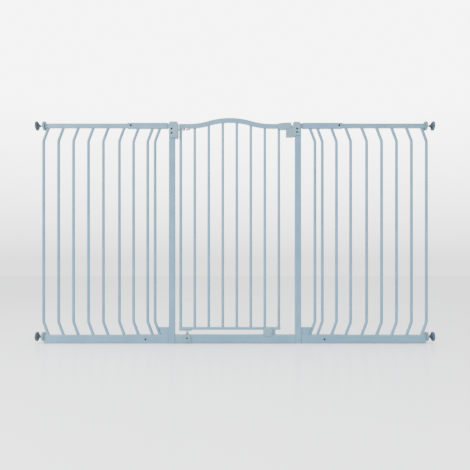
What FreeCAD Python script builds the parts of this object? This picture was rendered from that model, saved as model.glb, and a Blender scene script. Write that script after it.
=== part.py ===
import FreeCAD, Part
import math
import os
import re
import Sketcher

# Pressure-fitted pet gate: a framed walk-through leaf between two telescoping wings.
#
# Frame of the model: +Z is up, +X runs along the gate to the latch side, and the front
# faces -Y. The origin is on the floor below the middle of the gate. Millimetres.

Vector = FreeCAD.Vector
Rotation = FreeCAD.Rotation

doc = FreeCAD.newDocument("pet_gate")
made = {}

# ---------------------------------------------------------------- driving sizes
SIZES = (
    ("opening_width", 553.6, "clear way between the two posts"),
    ("frame_height", 1017, "floor to the top of the thick top rails"),
    ("fit_gap", 0.3, "clearance of a sliding or covering fit"),
    ("running_gap", 0.05, "radial clearance of a pin in its own bore"),
    ("tube_corner", 2.5, "outer corner radius of the square tubes"),
    ("post_side", 28, "square post"),
    ("post_wall", 1.5, "its wall"),
    ("base_height", 40, "bottom rail, floor to top"),
    ("base_depth", 25, "bottom rail, front to back"),
    ("base_wall", 1.2, "bottom rail wall"),
    ("base_reach", 195.2, "post to the mouth of the bottom rail"),
    ("threshold_gap", 2, "floor to the underside of the threshold"),
    ("sleeve_side", 25, "thick top rail"),
    ("sleeve_wall", 2, "its wall"),
    ("sleeve_start", 7, "post to the near end of the thick top rail"),
    ("sleeve_length", 184, "length of the thick top rail"),
    ("stub_length", 40, "stub that carries the thick top rail"),
    ("gusset_height", 34, "block at the foot of each post"),
    ("gusset_depth", 16, "block, front to back"),
    ("bent_bar_size", 14, "round bars of the side panels"),
    ("bar_wall", 1.2, "wall of every round bar"),
    ("bend_offset", 22.5, "how far a bar end steps towards the posts"),
    ("bend_angle", 20.75, "lean of a bar end, degrees from upright"),
    ("bend_radius", 40, "bend of the bar's middle line"),
    ("near_bar_inset", 64.9, "post to the first fixed bar"),
    ("middle_bar_inset", 99, "post to the second fixed bar"),
    ("bar_pitch", 65.5, "second to third fixed bar, and third to the first wing bar"),
    ("wing_bar_step", 74, "first to second wing bar"),
    ("wing_bar_count", 6, "bars of a wing"),
    ("wing_bar_pitch", 69.1, "pitch of the wing bars after that"),
    ("wing_side", 20, "thin top rail of a wing"),
    ("wing_wall", 1.5, "its wall"),
    ("wing_top_reach", 570.7, "post to the end of the wing's top plug"),
    ("wing_base_reach", 575.4, "post to the end of the wing's bottom plug"),
    ("wing_top_inset", 45.2, "post to the inner end of the thin top rail"),
    ("wing_base_inset", 30.2, "post to the inner end of the wing's bottom rail"),
    ("plug_flange", 5, "visible length of an end plug"),
    ("plug_gap", 0.35, "spindle to the bore of an end plug"),
    ("plug_depth", 22, "hidden length of an end plug"),
    ("lock_inset", 16, "mouth of a thick top rail to its lock screw"),
    ("base_lock_reach", 107.2, "post to the bottom rail's lock screw"),
    ("pad_reach", 613.7, "post to the wall face of a pad"),
    ("pad_axis_height", 31, "floor to the axis of the bottom pads"),
    ("pad_radius", 22, "wall pad"),
    ("pad_rim", 6, "thickness of a pad at its edge"),
    ("pad_depth", 19, "wall face to the back of a pad's hub"),
    ("pad_hub", 6.5, "hub radius at the back of a pad"),
    ("pad_dish", 2, "depth of the hollow in the wall face"),
    ("pad_lip", 3, "width of the flat edge round that hollow"),
    ("pad_dish_slope", 2, "width of the slope down into it"),
    ("pad_waist", 6, "radius of the waist, past the hub"),
    ("pad_flare", 3, "length of the slope from the waist to the rim"),
    ("spindle_radius", 4, "threaded spindle"),
    ("spindle_length", 108, "its length"),
    ("spindle_seat", 12, "length of spindle moulded into the pad"),
    ("nut_radius", 21.5, "hand nut"),
    ("nut_thickness", 13, "its thickness"),
    ("nut_hub", 9, "its hub radius"),
    ("nut_hub_rise", 3, "hub proud of the scalloped grip"),
    ("nut_scallop", 3.2, "radius of a finger scallop"),
    ("nut_scallops", 12, "number of finger scallops"),
    ("leaf_drop", 4.5, "top of the thick rails to the top of the leaf rail"),
    ("leaf_side", 20, "square top rail of the leaf"),
    ("leaf_wall", 1.5, "its wall"),
    ("leaf_overhang", 7, "end bars to the ends of the leaf rails"),
    ("arch_rise", 27.5, "how far the top rail rises"),
    ("arch_flat", 34.8, "end bar to the start of the rise"),
    ("latch_tail", 12, "closing bar to the end of the top rail"),
    ("leaf_base_height", 12, "bottom rail of the leaf, top to bottom"),
    ("leaf_base_bottom", 62.5, "floor to the bottom rail of the leaf"),
    ("leaf_cap", 2, "thickness of the end caps"),
    ("gate_bar_size", 13, "round bars of the leaf"),
    ("stile_size", 14, "round bar at the hinge side"),
    ("gate_spaces", 7, "spaces between the leaf's bars"),
    ("stile_inset", 25.8, "hinge post to the hinge-side bar"),
    ("closing_inset", 74.2, "latch post to the closing bar"),
    ("hinge_inset", 56.2, "hinge post to the pivot axis"),
    ("pivot_radius", 4, "both pivot pins"),
    ("bracket_front", 6, "bracket in front of a post"),
    ("bracket_back", 2, "bracket behind a post"),
    ("bracket_edge", 2, "rounding of the moulded edges"),
    ("hinge_bracket_drop", 70, "frame height to the foot of the hinge bracket"),
    ("hinge_bracket_rise", 4, "hinge bracket above the thick rails"),
    ("hinge_bracket_reach", 14.8, "hinge post to the bracket's free side"),
    ("bracket_lap", 25.2, "post face to the bracket's outer side"),
    ("screw_drop", 30, "frame height to the upper bracket screw"),
    ("screw_space", 20, "between the two screws of the hinge bracket"),
    ("receiver_space", 15.5, "between the two screws of the latch receiver"),
    ("screw_head", 4.4, "screw head radius"),
    ("screw_head_rise", 2.6, "screw head height"),
    ("screw_core", 2, "screw shank radius"),
    ("screw_grip", 8, "screw shank length below its seat"),
    ("screw_sink", 3.6, "depth of a screw's counterbore"),
    ("lock_head", 4.6, "lock screw head radius"),
    ("arm_thickness", 5, "upper hinge arm"),
    ("arm_gap", 1, "arm to the leaf rail above it"),
    ("arm_offset", 8, "pivot line to the front of the arm, which runs behind the leaf"),
    ("arm_width", 7, "width of the arm"),
    ("arm_boss", 13, "radius of the arm's eye"),
    ("rivet_radius", 6, "head of the upper pin, under the arm"),
    ("rivet_rise", 2.5, "its thickness"),
    ("pin_rise", 15, "upper pin above the arm"),
    ("shoe_thickness", 4.2, "plate under the leaf at the lower pivot"),
    ("shoe_inset", 1, "end of the leaf to the plate"),
    ("shoe_reach", 21.6, "lower pivot to the plate's free end"),
    ("shoe_boss", 7.5, "radius of the shoe's boss inside the leaf's bottom rail"),
    ("cone_gap", 0.5, "pivot cone to its seat"),
    ("cone_top", 8.5, "radius at the top of the pivot cone"),
    ("cone_foot", 4.8, "radius at the foot of the pivot cone"),
    ("cone_rim", 2, "height of the rim round the top of the cone"),
    ("pin_foot", 2, "pin below the spigot of its seat"),
    ("pin_head_gap", 1, "top of the pin to the rail wall above it"),
    ("seat_height", 4, "pivot seat above the threshold"),
    ("seat_radius", 8, "outer radius of the pivot seat"),
    ("seat_spigot", 7.5, "radius of the seat's spigot inside the threshold"),
    ("seat_depth", 14, "pivot seat below the top of the threshold"),
    ("seat_plate", 36, "width of the seat's front plate"),
    ("seat_plate_thickness", 3, "its thickness"),
    ("seat_plate_foot", 3, "threshold's underside to the foot of the front plate"),
    ("seat_boss", 14.5, "round boss on the front plate"),
    ("seat_boss_rise", 4, "how far the boss stands out"),
    ("catch_width", 38.6, "front lip of the bottom catch"),
    ("catch_length", 57, "whole length of the bottom catch"),
    ("catch_inset", 90.1, "latch post to the catch's near end"),
    ("catch_lip", 4, "thickness of the catch's front lip"),
    ("catch_space", 2, "front lip to the rest beside it"),
    ("catch_rise", 33, "front lip above the threshold"),
    ("catch_rest", 20.5, "rest under the leaf above the threshold"),
    ("latch_depth", 25, "latch housing, front to back"),
    ("latch_rim", 2.6, "housing above the leaf rail at its left end"),
    ("latch_slope", 3.2, "how much the housing's top rises to the right"),
    ("latch_foot", 5.3, "housing below the leaf rail"),
    ("nose_inset", 11.3, "latch post to the tip of the housing"),
    ("nose_height", 5, "tip of the housing above the leaf rail's underside"),
    ("nose_back", 15.6, "tip of the housing to the end of its flat underside"),
    ("latch_edge", 1.5, "rounding of the housing's front and back edges"),
    ("nose_top_back", 8.1, "tip of the housing to the end of its top"),
    ("latch_gap", 0.8, "housing to the latch receiver"),
    ("latch_lap", 1.6, "housing past the middle of the closing bar"),
    ("latch_wall", 3, "wall between the rail and the bolt inside the housing"),
    ("receiver_arm", 41.3, "latch post to the free end of the receiver's arm"),
    ("receiver_arm_height", 35.4, "height of the receiver's arm"),
    ("receiver_rise", 2.5, "receiver above the thick rails"),
    ("receiver_foot", 5, "step from the arm's underside up to the plate's"),
    ("receiver_lap", 22.4, "latch post face to the receiver's outer side"),
    ("receiver_arm_depth", 24, "receiver's arm, front to back"),
    ("receiver_screw", 7.7, "latch post face to the receiver's screws"),
    ("bolt_room", 1.5, "bolt to the walls of its pocket"),
    ("bolt_drop", 0.5, "leaf rail's middle line to the bolt's"),
    ("bolt_height", 8, "latch bolt, top to bottom"),
    ("bolt_depth", 9, "latch bolt, front to back"),
    ("bolt_throw", 6, "bolt past the tip of the housing"),
    ("bolt_length", 38, "length of the bolt"),
    ("bolt_travel", 8, "how far the bolt draws back"),
    ("bolt_chamfer", 0.8, "chamfer round the end of the bolt"),
    ("spring_turns", 5, "turns of the bolt spring"),
    ("spring_radius", 3, "middle radius of the coils"),
    ("spring_wire", 0.8, "wire diameter"),
    ("thumb_length", 18, "thumb slide"),
    ("thumb_width", 14, "thumb slide, front to back"),
    ("thumb_height", 4.7, "thumb slide, top to bottom"),
    ("thumb_shift", 0.7, "thumb slide off the middle of the housing"),
    ("thumb_sink", 1.3, "recess of the thumb slide, below the housing's left end"),
    ("thumb_neck", 8, "neck between the thumb slide and the bolt, along the gate"),
)

# ---------------------------------------------------------------- worked-out places
PLACES = (
    ("post_face", "Size.opening_width / 2", "inner face of a post"),
    ("post_x", "post_face + Size.post_side / 2", "middle of a post"),
    ("post_outer", "post_face + Size.post_side", "outer face of a post"),
    ("rail_axis", "Size.frame_height - Size.sleeve_side / 2", "axis of the top rails"),
    ("sleeve_under", "Size.frame_height - Size.sleeve_side", "underside, thick top rail"),
    ("wing_under", "rail_axis - Size.wing_side / 2", "underside, thin top rail"),
    ("stub_side", "Size.sleeve_side - 2 * Size.sleeve_wall", "stub, snug in the thick rail"),
    ("post_top", "rail_axis + stub_side / 2", "top of both posts"),
    ("wing_base_height", "Size.base_height - 2 * Size.base_wall - 2 * Size.fit_gap", ""),
    ("wing_base_depth", "Size.base_depth - 2 * Size.base_wall - 2 * Size.fit_gap", ""),
    ("wing_base_axis", "Size.base_height / 2", "middle height of the bottom rails"),
    ("wing_base_top", "wing_base_axis + wing_base_height / 2", "top, wing's bottom rail"),
    ("bend_rise", "Size.bend_offset / tan(Size.bend_angle)", "height of a bar's end run"),
    ("wing_bar_x", "post_outer + Size.middle_bar_inset + 2 * Size.bar_pitch", "first wing bar"),
    ("top_plug_x", "post_outer + Size.wing_top_reach", "outer face of a top plug"),
    ("base_plug_x", "post_outer + Size.wing_base_reach", "outer face of a bottom plug"),
    ("pad_face_x", "post_outer + Size.pad_reach", "wall face of a pad"),
    ("hinge_x", "-post_face + Size.hinge_inset", "pivot axis of the leaf"),
    ("stile_x", "-post_face + Size.stile_inset", "hinge-side bar"),
    ("closing_x", "post_face - Size.closing_inset", "closing bar"),
    ("gate_pitch", "(closing_x - stile_x) / Size.gate_spaces", "pitch of the leaf's bars"),
    ("leaf_left", "stile_x - Size.leaf_overhang", "left end of the leaf"),
    ("leaf_base_right", "closing_x + Size.leaf_overhang", "right end, leaf's bottom rail"),
    ("leaf_right", "closing_x + Size.latch_tail", "right end, leaf's top rail"),
    ("leaf_top", "Size.frame_height - Size.leaf_drop", "top of the leaf's level rail"),
    ("leaf_axis", "leaf_top - Size.leaf_side / 2", "its middle line"),
    ("leaf_under", "leaf_top - Size.leaf_side", "its underside"),
    ("leaf_base_top", "Size.leaf_base_bottom + Size.leaf_base_height", ""),
    ("arch_span", "(closing_x - stile_x) / 2 - Size.arch_flat", "half the length of the rise"),
    ("arch_mid", "(closing_x + stile_x) / 2", "crest of the rise"),
    ("arch_turn", "2 * atan(Size.arch_rise / arch_span) / 1deg", "degrees turned by an arc"),
    ("arch_radius", "arch_span / (2 * sin(arch_turn))", "middle line of both arcs"),
    ("bore_radius", "Size.pivot_radius + Size.running_gap", "bore of both pivots"),
    ("shoe_bottom", "Size.leaf_base_bottom - Size.shoe_thickness", "underside of the shoe"),
    ("cone_top_z", "shoe_bottom - Size.fit_gap", "top of the pivot cone"),
    ("seat_top", "Size.base_height + Size.seat_height", "top of the pivot seat"),
    ("seat_screw_z", "Size.base_height - Size.seat_boss", "height of the seat's screw"),
    ("arm_top", "leaf_under - Size.arm_gap", "top of the upper hinge arm"),
    ("bracket_y", "-Size.post_side / 2 - Size.bracket_front", "front face of the brackets"),
    ("bracket_size_y", "Size.post_side + Size.bracket_front + Size.bracket_back", ""),
    ("screw_z", "Size.frame_height - Size.screw_drop", "upper bracket screws"),
    ("latch_bottom", "leaf_under - Size.latch_foot", "underside of the latch housing"),
    ("latch_top", "leaf_top + Size.latch_rim", "top of the housing at its left end"),
    ("nose_x", "post_face - Size.nose_inset", "tip of the latch housing"),
    ("nose_z", "leaf_under + Size.nose_height", "height of that tip"),
    ("bolt_axis", "leaf_axis - Size.bolt_drop", "height of the bolt's middle line"),
    ("thumb_x", "(closing_x - Size.latch_lap + nose_x) / 2 + Size.thumb_shift", "thumb slide"),
    ("thumb_floor", "latch_top - Size.thumb_sink", "floor of the thumb slide's recess"),
    ("bolt_tip", "nose_x + Size.bolt_throw", "end of the bolt at rest"),
    ("bolt_rear", "bolt_tip - Size.bolt_length", "back of the bolt at rest"),
)


def fill_sheet(name, rows):
    """A spreadsheet with a name, a value or formula, and a note on each line."""
    sheet = doc.addObject("Spreadsheet::Sheet", name)
    names = [row[0] for row in rows]
    for line, (alias, content, note) in enumerate(rows, 1):
        sheet.set("A%d" % line, alias)
        sheet.set("C%d" % line, note)
        sheet.setAlias("B%d" % line, alias)
        text = str(content)
        if not isinstance(content, (int, float)):
            text = "=" + text
        sheet.set("B%d" % line, text)
    return sheet, names


size_sheet, size_names = fill_sheet("Size", SIZES)
place_sheet, place_names = fill_sheet("Place", PLACES)
doc.recompute()


def full(expression):
    """Write a short expression with the sheet that each plain word belongs to."""
    text = str(expression)
    for sheet, names in (("Size", size_names), ("Place", place_names)):
        for name in names:
            text = re.sub(r"(?<![\w.])%s\b" % name, "%s.%s" % (sheet, name), text)
    return text


def value(expression):
    """The number that a short expression has now."""
    result = size_sheet.evalExpression(full(expression))
    return float(getattr(result, "Value", result))


# ---------------------------------------------------------------- sketch helpers
def new_body(name):
    body = doc.addObject("PartDesign::Body", name)
    return body


def origin_plane(body, role):
    return [item for item in body.Origin.OriginFeatures if item.Role == role][0]


def new_sketch(body, role, name, shift="0"):
    """A sketch on one of the body's own planes, shifted along that plane's normal."""
    sketch = body.newObject("Sketcher::SketchObject", name)
    sketch.AttachmentSupport = [(origin_plane(body, role), "")]
    sketch.MapMode = "FlatFace"
    sketch.AttachmentOffset = FreeCAD.Placement(Vector(0, 0, value(shift)), Rotation())
    sketch.setExpression("AttachmentOffset.Base.z", full(shift))
    return sketch


def name_last(sketch, tag, expression):
    """Name the newest constraint and drive it from the sheets."""
    index = sketch.ConstraintCount - 1
    sketch.renameConstraint(index, tag)
    sketch.setExpression("Constraints." + tag, full(expression))


def fix_point(sketch, tag, geo, end, across, up):
    """Hold a point at two driven distances from the sketch's origin."""
    for axis, kind, line, expression in (("x", "DistanceX", -2, across), ("y", "DistanceY", -1, up)):
        number = value(expression)
        if abs(number) < 1e-9:
            sketch.addConstraint(Sketcher.Constraint("PointOnObject", geo, end, line))
        else:
            sketch.addConstraint(Sketcher.Constraint(kind, -1, 1, geo, end, number))
            name_last(sketch, tag + axis, expression)


def draw_circle(sketch, tag, across, up, radius):
    centre = Vector(value(across), value(up), 0)
    geo = sketch.addGeometry(Part.Circle(centre, Vector(0, 0, 1), value(radius)))
    fix_point(sketch, tag, geo, 3, across, up)
    sketch.addConstraint(Sketcher.Constraint("Radius", geo, value(radius)))
    name_last(sketch, tag + "r", radius)


def draw_outline(sketch, tag, corners, closed=True):
    """Straight sides between corners (across, up, radius), each corner sharp or rounded."""
    points = [Vector(value(c[0]), value(c[1]), 0) for c in corners]
    radii = [value(c[2]) if len(c) > 2 and c[2] else 0 for c in corners]
    count = len(corners)
    sides = count if closed else count - 1
    cut = []
    for i in range(count):
        if radii[i]:
            to_last = (points[i - 1] - points[i]).normalize()
            to_next = (points[(i + 1) % count] - points[i]).normalize()
            half = to_last.getAngle(to_next) / 2
            cut.append((to_last, to_next, radii[i] / math.tan(half), half))
        else:
            cut.append(None)
    lines = []
    for i in range(sides):
        j = (i + 1) % count
        start = points[i] + cut[i][1] * cut[i][2] if cut[i] else points[i]
        stop = points[j] + cut[j][0] * cut[j][2] if cut[j] else points[j]
        lines.append(sketch.addGeometry(Part.LineSegment(start, stop)))
    for i in range(count):
        here = "%s%d" % (tag, i)
        before = lines[i - 1] if closed or i > 0 else None
        after = lines[i] if i < sides else None
        if not cut[i]:
            if before is not None and after is not None:
                sketch.addConstraint(Sketcher.Constraint("Coincident", before, 2, after, 1))
            geo, end = (after, 1) if after is not None else (before, 2)
            fix_point(sketch, here, geo, end, corners[i][0], corners[i][1])
            continue
        to_last, to_next, length, half = cut[i]
        inward = (to_last + to_next).normalize()
        centre = points[i] + inward * (radii[i] / math.sin(half))
        begin = points[i] + to_last * length
        finish = points[i] + to_next * length
        middle = centre - inward * radii[i]
        arc = sketch.addGeometry(Part.Arc(begin, middle, finish))
        curve = sketch.Geometry[arc]
        first = 1 if curve.StartPoint.distanceToPoint(begin) < curve.EndPoint.distanceToPoint(begin) else 2
        corner = sketch.addGeometry(Part.Point(points[i]), True)
        sketch.addConstraint(Sketcher.Constraint("Tangent", before, 2, arc, first))
        sketch.addConstraint(Sketcher.Constraint("Tangent", after, 1, arc, 3 - first))
        sketch.addConstraint(Sketcher.Constraint("PointOnObject", corner, 1, before))
        sketch.addConstraint(Sketcher.Constraint("PointOnObject", corner, 1, after))
        sketch.addConstraint(Sketcher.Constraint("Radius", arc, radii[i]))
        name_last(sketch, here + "r", corners[i][2])
        fix_point(sketch, here, corner, 1, corners[i][0], corners[i][1])


def draw_box(sketch, tag, left, right, low, high, corner=None):
    draw_outline(sketch, tag, ((left, low, corner), (right, low, corner),
                               (right, high, corner), (left, high, corner)))


def draw_tube(sketch, tag, width, height, wall, corner):
    """A hollow box section about the sketch's origin."""
    draw_box(sketch, tag + "o", "-(%s)/2" % width, "(%s)/2" % width,
             "-(%s)/2" % height, "(%s)/2" % height, corner)
    inner_w = "(%s)/2 - %s" % (width, wall)
    inner_h = "(%s)/2 - %s" % (height, wall)
    draw_box(sketch, tag + "i", "-(%s)" % inner_w, inner_w, "-(%s)" % inner_h, inner_h,
             "max(%s - %s; 0.3)" % (corner, wall))


# ---------------------------------------------------------------- feature helpers
def pad(body, sketch, length, reverse=False, midplane=False):
    feature = body.newObject("PartDesign::Pad", sketch.Name + "_pad")
    feature.Profile = sketch
    feature.Reversed = reverse
    feature.Midplane = midplane
    feature.Length = value(length)
    feature.setExpression("Length", full(length))
    sketch.Visibility = False
    doc.recompute()
    return feature


def pocket(body, sketch, length, reverse=False, midplane=False):
    """Cut a sketch through the body, and make sure that something was cut."""
    before = body.Shape.Volume
    feature = body.newObject("PartDesign::Pocket", sketch.Name + "_cut")
    feature.Profile = sketch
    feature.Reversed = reverse
    feature.Midplane = midplane
    feature.Length = value(length)
    feature.setExpression("Length", full(length))
    doc.recompute()
    if body.Shape.Volume > before - 1e-3:
        raise RuntimeError("%s cuts nothing" % feature.Name)
    return feature


def round_edges(body, radius, choose, chamfer=False):
    """Fillet (or chamfer) the edges of the newest feature that the chooser accepts."""
    base = body.Tip
    names = ["Edge%d" % (i + 1) for i, edge in enumerate(base.Shape.Edges) if choose(edge)]
    kind = "PartDesign::Chamfer" if chamfer else "PartDesign::Fillet"
    feature = body.newObject(kind, base.Name + "_edge")
    feature.Base = (base, names)
    prop = "Size" if chamfer else "Radius"
    setattr(feature, prop, value(radius))
    feature.setExpression(prop, full(radius))
    doc.recompute()
    return feature


def edges_at(axis, number):
    """Chooser: every edge that lies wholly in one plane square to an axis."""
    def choose(edge):
        box = edge.BoundBox
        low = getattr(box, axis + "Min")
        high = getattr(box, axis + "Max")
        return abs(low - number) < 1e-4 and abs(high - number) < 1e-4
    return choose


def put(item, across="0", depth="0", up="0", spin=0, axis=Vector(0, 0, 1)):
    """Place a body by driven distances, after an optional turn."""
    item.Placement = FreeCAD.Placement(Vector(value(across), value(depth), value(up)), Rotation(axis, spin))
    item.setExpression("Placement.Base.x", full(across))
    item.setExpression("Placement.Base.y", full(depth))
    item.setExpression("Placement.Base.z", full(up))
    return item


def put_on_side(item, side, across, up="0"):
    """Place a piece drawn for the right side; on the left it is turned half a turn."""
    if side == "right":
        return put(item, across, "0", up)
    return put(item, "-(%s)" % across, "0", up, 180)


def keep(item, node):
    """Register a finished piece under the name of its file."""
    item.Label = node
    made[node] = item
    return item


def group(node, items):
    bundle = doc.addObject("Part::Compound", node + "_group")
    bundle.Links = items
    return keep(bundle, node)


# ---------------------------------------------------------------- tubes and bars
def box_tube(name, plane, width, height, wall, length, corner="tube_corner"):
    """A square or oblong tube, drawn on one plane and padded along its normal."""
    body = new_body(name)
    sketch = new_sketch(body, plane, name + "_section")
    draw_tube(sketch, "s", width, height, wall, corner)
    pad(body, sketch, length)
    return body


def round_bar(name, diameter, length):
    body = new_body(name)
    sketch = new_sketch(body, "XY_Plane", name + "_section")
    draw_circle(sketch, "o", "0", "0", diameter + " / 2")
    draw_circle(sketch, "i", "0", "0", "%s / 2 - bar_wall" % diameter)
    pad(body, sketch, length)
    return body


def bent_bar(name, low, high):
    """An upright tube whose two ends lean towards the posts, trimmed level at both rails."""
    body = new_body(name)
    spare = "bent_bar_size"
    lean = "bend_offset + %s * tan(bend_angle)" % spare
    path = new_sketch(body, "XZ_Plane", name + "_path")
    draw_outline(path, "p", (
        ("-(%s)" % lean, "%s - %s" % (low, spare)),
        ("0", "%s + bend_rise" % low, "bend_radius"),
        ("0", "%s - bend_rise" % high, "bend_radius"),
        ("-(%s)" % lean, "%s + %s" % (high, spare)),
    ), closed=False)
    section = new_sketch(body, "XY_Plane", name + "_section")
    draw_circle(section, "o", "0", "0", "bent_bar_size / 2")
    draw_circle(section, "i", "0", "0", "bent_bar_size / 2 - bar_wall")
    turn = Rotation(Vector(0, 1, 0), value("bend_angle"))
    start = Vector(-value(lean), 0, value("%s - %s" % (low, spare)))
    section.AttachmentOffset = FreeCAD.Placement(start, turn)
    section.setExpression("AttachmentOffset.Base.x", full("-(%s)" % lean))
    section.setExpression("AttachmentOffset.Base.z", full("%s - %s" % (low, spare)))
    section.setExpression("AttachmentOffset.Rotation.Angle", full("bend_angle"))
    pipe = body.newObject("PartDesign::AdditivePipe", name + "_tube")
    pipe.Profile = section
    pipe.Spine = (path, ["Edge%d" % (i + 1) for i in range(5)])
    doc.recompute()
    trim = new_sketch(body, "XZ_Plane", name + "_trim")
    side = "3 * bent_bar_size"
    draw_box(trim, "b", "-(%s)" % lean + " - " + side, side, "%s - 3 * %s" % (low, spare), low)
    draw_box(trim, "t", "-(%s)" % lean + " - " + side, side, high, "%s + 3 * %s" % (high, spare))
    pocket(body, trim, "4 * bent_bar_size", midplane=True)
    return body


# ---------------------------------------------------------------- fixed frame
def screw_holes(body, spots, front):
    """Tapped holes through the front wall of a post or rail; front is the side that has it."""
    sketch = new_sketch(body, "XZ_Plane", body.Name + "_holes")
    for i, (across, up) in enumerate(spots):
        draw_circle(sketch, "h%d" % i, across, up, "screw_core")
    pocket(body, sketch, "post_side", reverse=(front == "near"))


def make_posts():
    for node, side, offset, space in (
            ("hinge_post", "left", "0", "screw_space"),
            ("latch_post", "right", "receiver_screw - post_side / 2", "receiver_space")):
        post = box_tube(node, "XY_Plane", "post_side", "post_side", "post_wall", "post_top")
        screw_holes(post, ((offset, "screw_z"), (offset, "screw_z - %s" % space)), "near")
        keep(put(post, "-post_x" if side == "left" else "post_x"), node)


def make_threshold():
    height = "(base_height - threshold_gap)"
    tube = box_tube("threshold_rail", "YZ_Plane", "base_depth", height, "post_wall", "2 * post_face")
    middle = "(base_height + threshold_gap) / 2"
    hole = new_sketch(tube, "XY_Plane", "threshold_pivot_hole")
    draw_circle(hole, "h", "hinge_inset", "0", "seat_spigot")
    pocket(tube, hole, "base_height", reverse=True)
    screw_holes(tube, (("hinge_inset", "seat_screw_z - " + middle),), "near")
    keep(put(tube, "-post_face", "0", middle), "threshold_rail")


def make_side_frame(side):
    """The fixed part of one side: bottom rail, stub, thick top rail, gusset and three bars."""
    front = "near" if side == "right" else "far"
    rail = box_tube(side + "_base_rail", "YZ_Plane", "base_depth", "base_height", "base_wall", "base_reach")
    screw_holes(rail, (("base_lock_reach", "0"),), front)
    keep(put_on_side(rail, side, "post_outer", "base_height / 2"), side + "_base_rail")
    stub = box_tube(side + "_top_stub", "YZ_Plane", "stub_side", "stub_side", "wing_wall", "stub_length")
    keep(put_on_side(stub, side, "post_outer", "rail_axis"), side + "_top_stub")
    sleeve = box_tube(side + "_top_sleeve", "YZ_Plane", "sleeve_side", "sleeve_side",
                      "sleeve_wall", "sleeve_length")
    screw_holes(sleeve, (("sleeve_length - lock_inset", "0"),), front)
    keep(put_on_side(sleeve, side, "post_outer + sleeve_start", "rail_axis"), side + "_top_sleeve")

    gusset = new_body(side + "_foot_gusset")
    face = new_sketch(gusset, "XZ_Plane", side + "_gusset_face")
    low = "near_bar_inset - bend_offset - bent_bar_size / 2 / cos(bend_angle) - fit_gap"
    draw_outline(face, "g", (
        ("0", "0"),
        (low, "0"),
        (low + " + gusset_height * tan(bend_angle)", "gusset_height"),
        ("0", "gusset_height"),
    ))
    pad(gusset, face, "gusset_depth", midplane=True)
    keep(put_on_side(gusset, side, "post_outer", "base_height"), side + "_foot_gusset")

    bars = []
    for i, inset in enumerate(("near_bar_inset", "middle_bar_inset", "middle_bar_inset + bar_pitch"), 1):
        bar = bent_bar("%s_base_bar_%d" % (side, i), "base_height", "sleeve_under")
        bars.append(put_on_side(bar, side, "post_outer + " + inset))
    group(side + "_base_bars", bars)


def make_hinge_bracket():
    """Moulded cover on the hinge post, with the room for the post cut out of it."""
    body = new_body("hinge_bracket")
    face = new_sketch(body, "XZ_Plane", "hinge_bracket_face", "-bracket_y")
    low = "frame_height - hinge_bracket_drop"
    high = "frame_height + hinge_bracket_rise"
    draw_outline(face, "f", (
        ("-bracket_lap", low, "4"),
        ("hinge_bracket_reach", low, "6"),
        ("hinge_bracket_reach", high, "8"),
        ("-bracket_lap", high, "5"),
    ))
    pad(body, face, "bracket_size_y", reverse=True)
    round_edges(body, "bracket_edge", edges_at("Y", value("bracket_y")))
    cut_post_room(body, "-bracket_lap - post_side", "0")
    arm = new_sketch(body, "YZ_Plane", "hinge_bracket_arm_slot")
    draw_box(arm, "a", "arm_offset", "arm_offset + arm_width", "arm_top - arm_thickness", "arm_top")
    pocket(body, arm, "hinge_bracket_reach", reverse=True)
    cut_screw_seats(body, "-post_side / 2", "screw_space")
    keep(put(body, "-post_face"), "hinge_bracket")


def cut_post_room(body, left, right):
    """Open a bracket from behind and below so that it fits over the top of its post."""
    room = new_sketch(body, "XY_Plane", body.Name + "_room", "post_top + fit_gap")
    draw_box(room, "r", left, right, "-post_side / 2", "post_side")
    pocket(body, room, "frame_height")


def cut_screw_seats(body, across, space):
    """Two counterbored screw holes in a bracket's front face."""
    for name, radius, depth in (("seats", "screw_head + fit_gap", "screw_sink"),
                                ("holes", "screw_core", "bracket_front")):
        sketch = new_sketch(body, "XZ_Plane", "%s_%s" % (body.Name, name), "-bracket_y")
        draw_circle(sketch, "a", across, "screw_z", radius)
        draw_circle(sketch, "b", across, "screw_z - " + space, radius)
        pocket(body, sketch, depth)


def make_hinge_arm():
    """Steel arm that runs behind the hinge-side bar to an eye with the upper pivot pin."""
    body = new_body("hinge_arm")
    plan = new_sketch(body, "XY_Plane", "hinge_arm_plan")
    back = "arm_offset + arm_width"
    draw_outline(plan, "p", (
        ("-hinge_inset", "arm_offset"),
        ("-arm_boss - arm_width", "arm_offset"),
        ("-arm_boss", "0"),
        ("0", "0"),
        ("0", "arm_boss"),
        ("-arm_boss", back, "arm_width / 2"),
        ("-hinge_inset", back),
    ))
    pad(body, plan, "arm_thickness")
    eye = new_sketch(body, "XY_Plane", "hinge_arm_eye")
    draw_circle(eye, "e", "0", "0", "arm_boss")
    pad(body, eye, "arm_thickness")
    pin = new_sketch(body, "XY_Plane", "hinge_arm_pin")
    draw_circle(pin, "p", "0", "0", "pivot_radius")
    pad(body, pin, "arm_thickness + pin_rise")
    rivet = new_sketch(body, "XY_Plane", "hinge_arm_rivet")
    draw_circle(rivet, "r", "0", "0", "rivet_radius")
    pad(body, rivet, "rivet_rise", reverse=True)
    keep(put(body, "hinge_x", "0", "arm_top - arm_thickness"), "hinge_arm")


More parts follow.
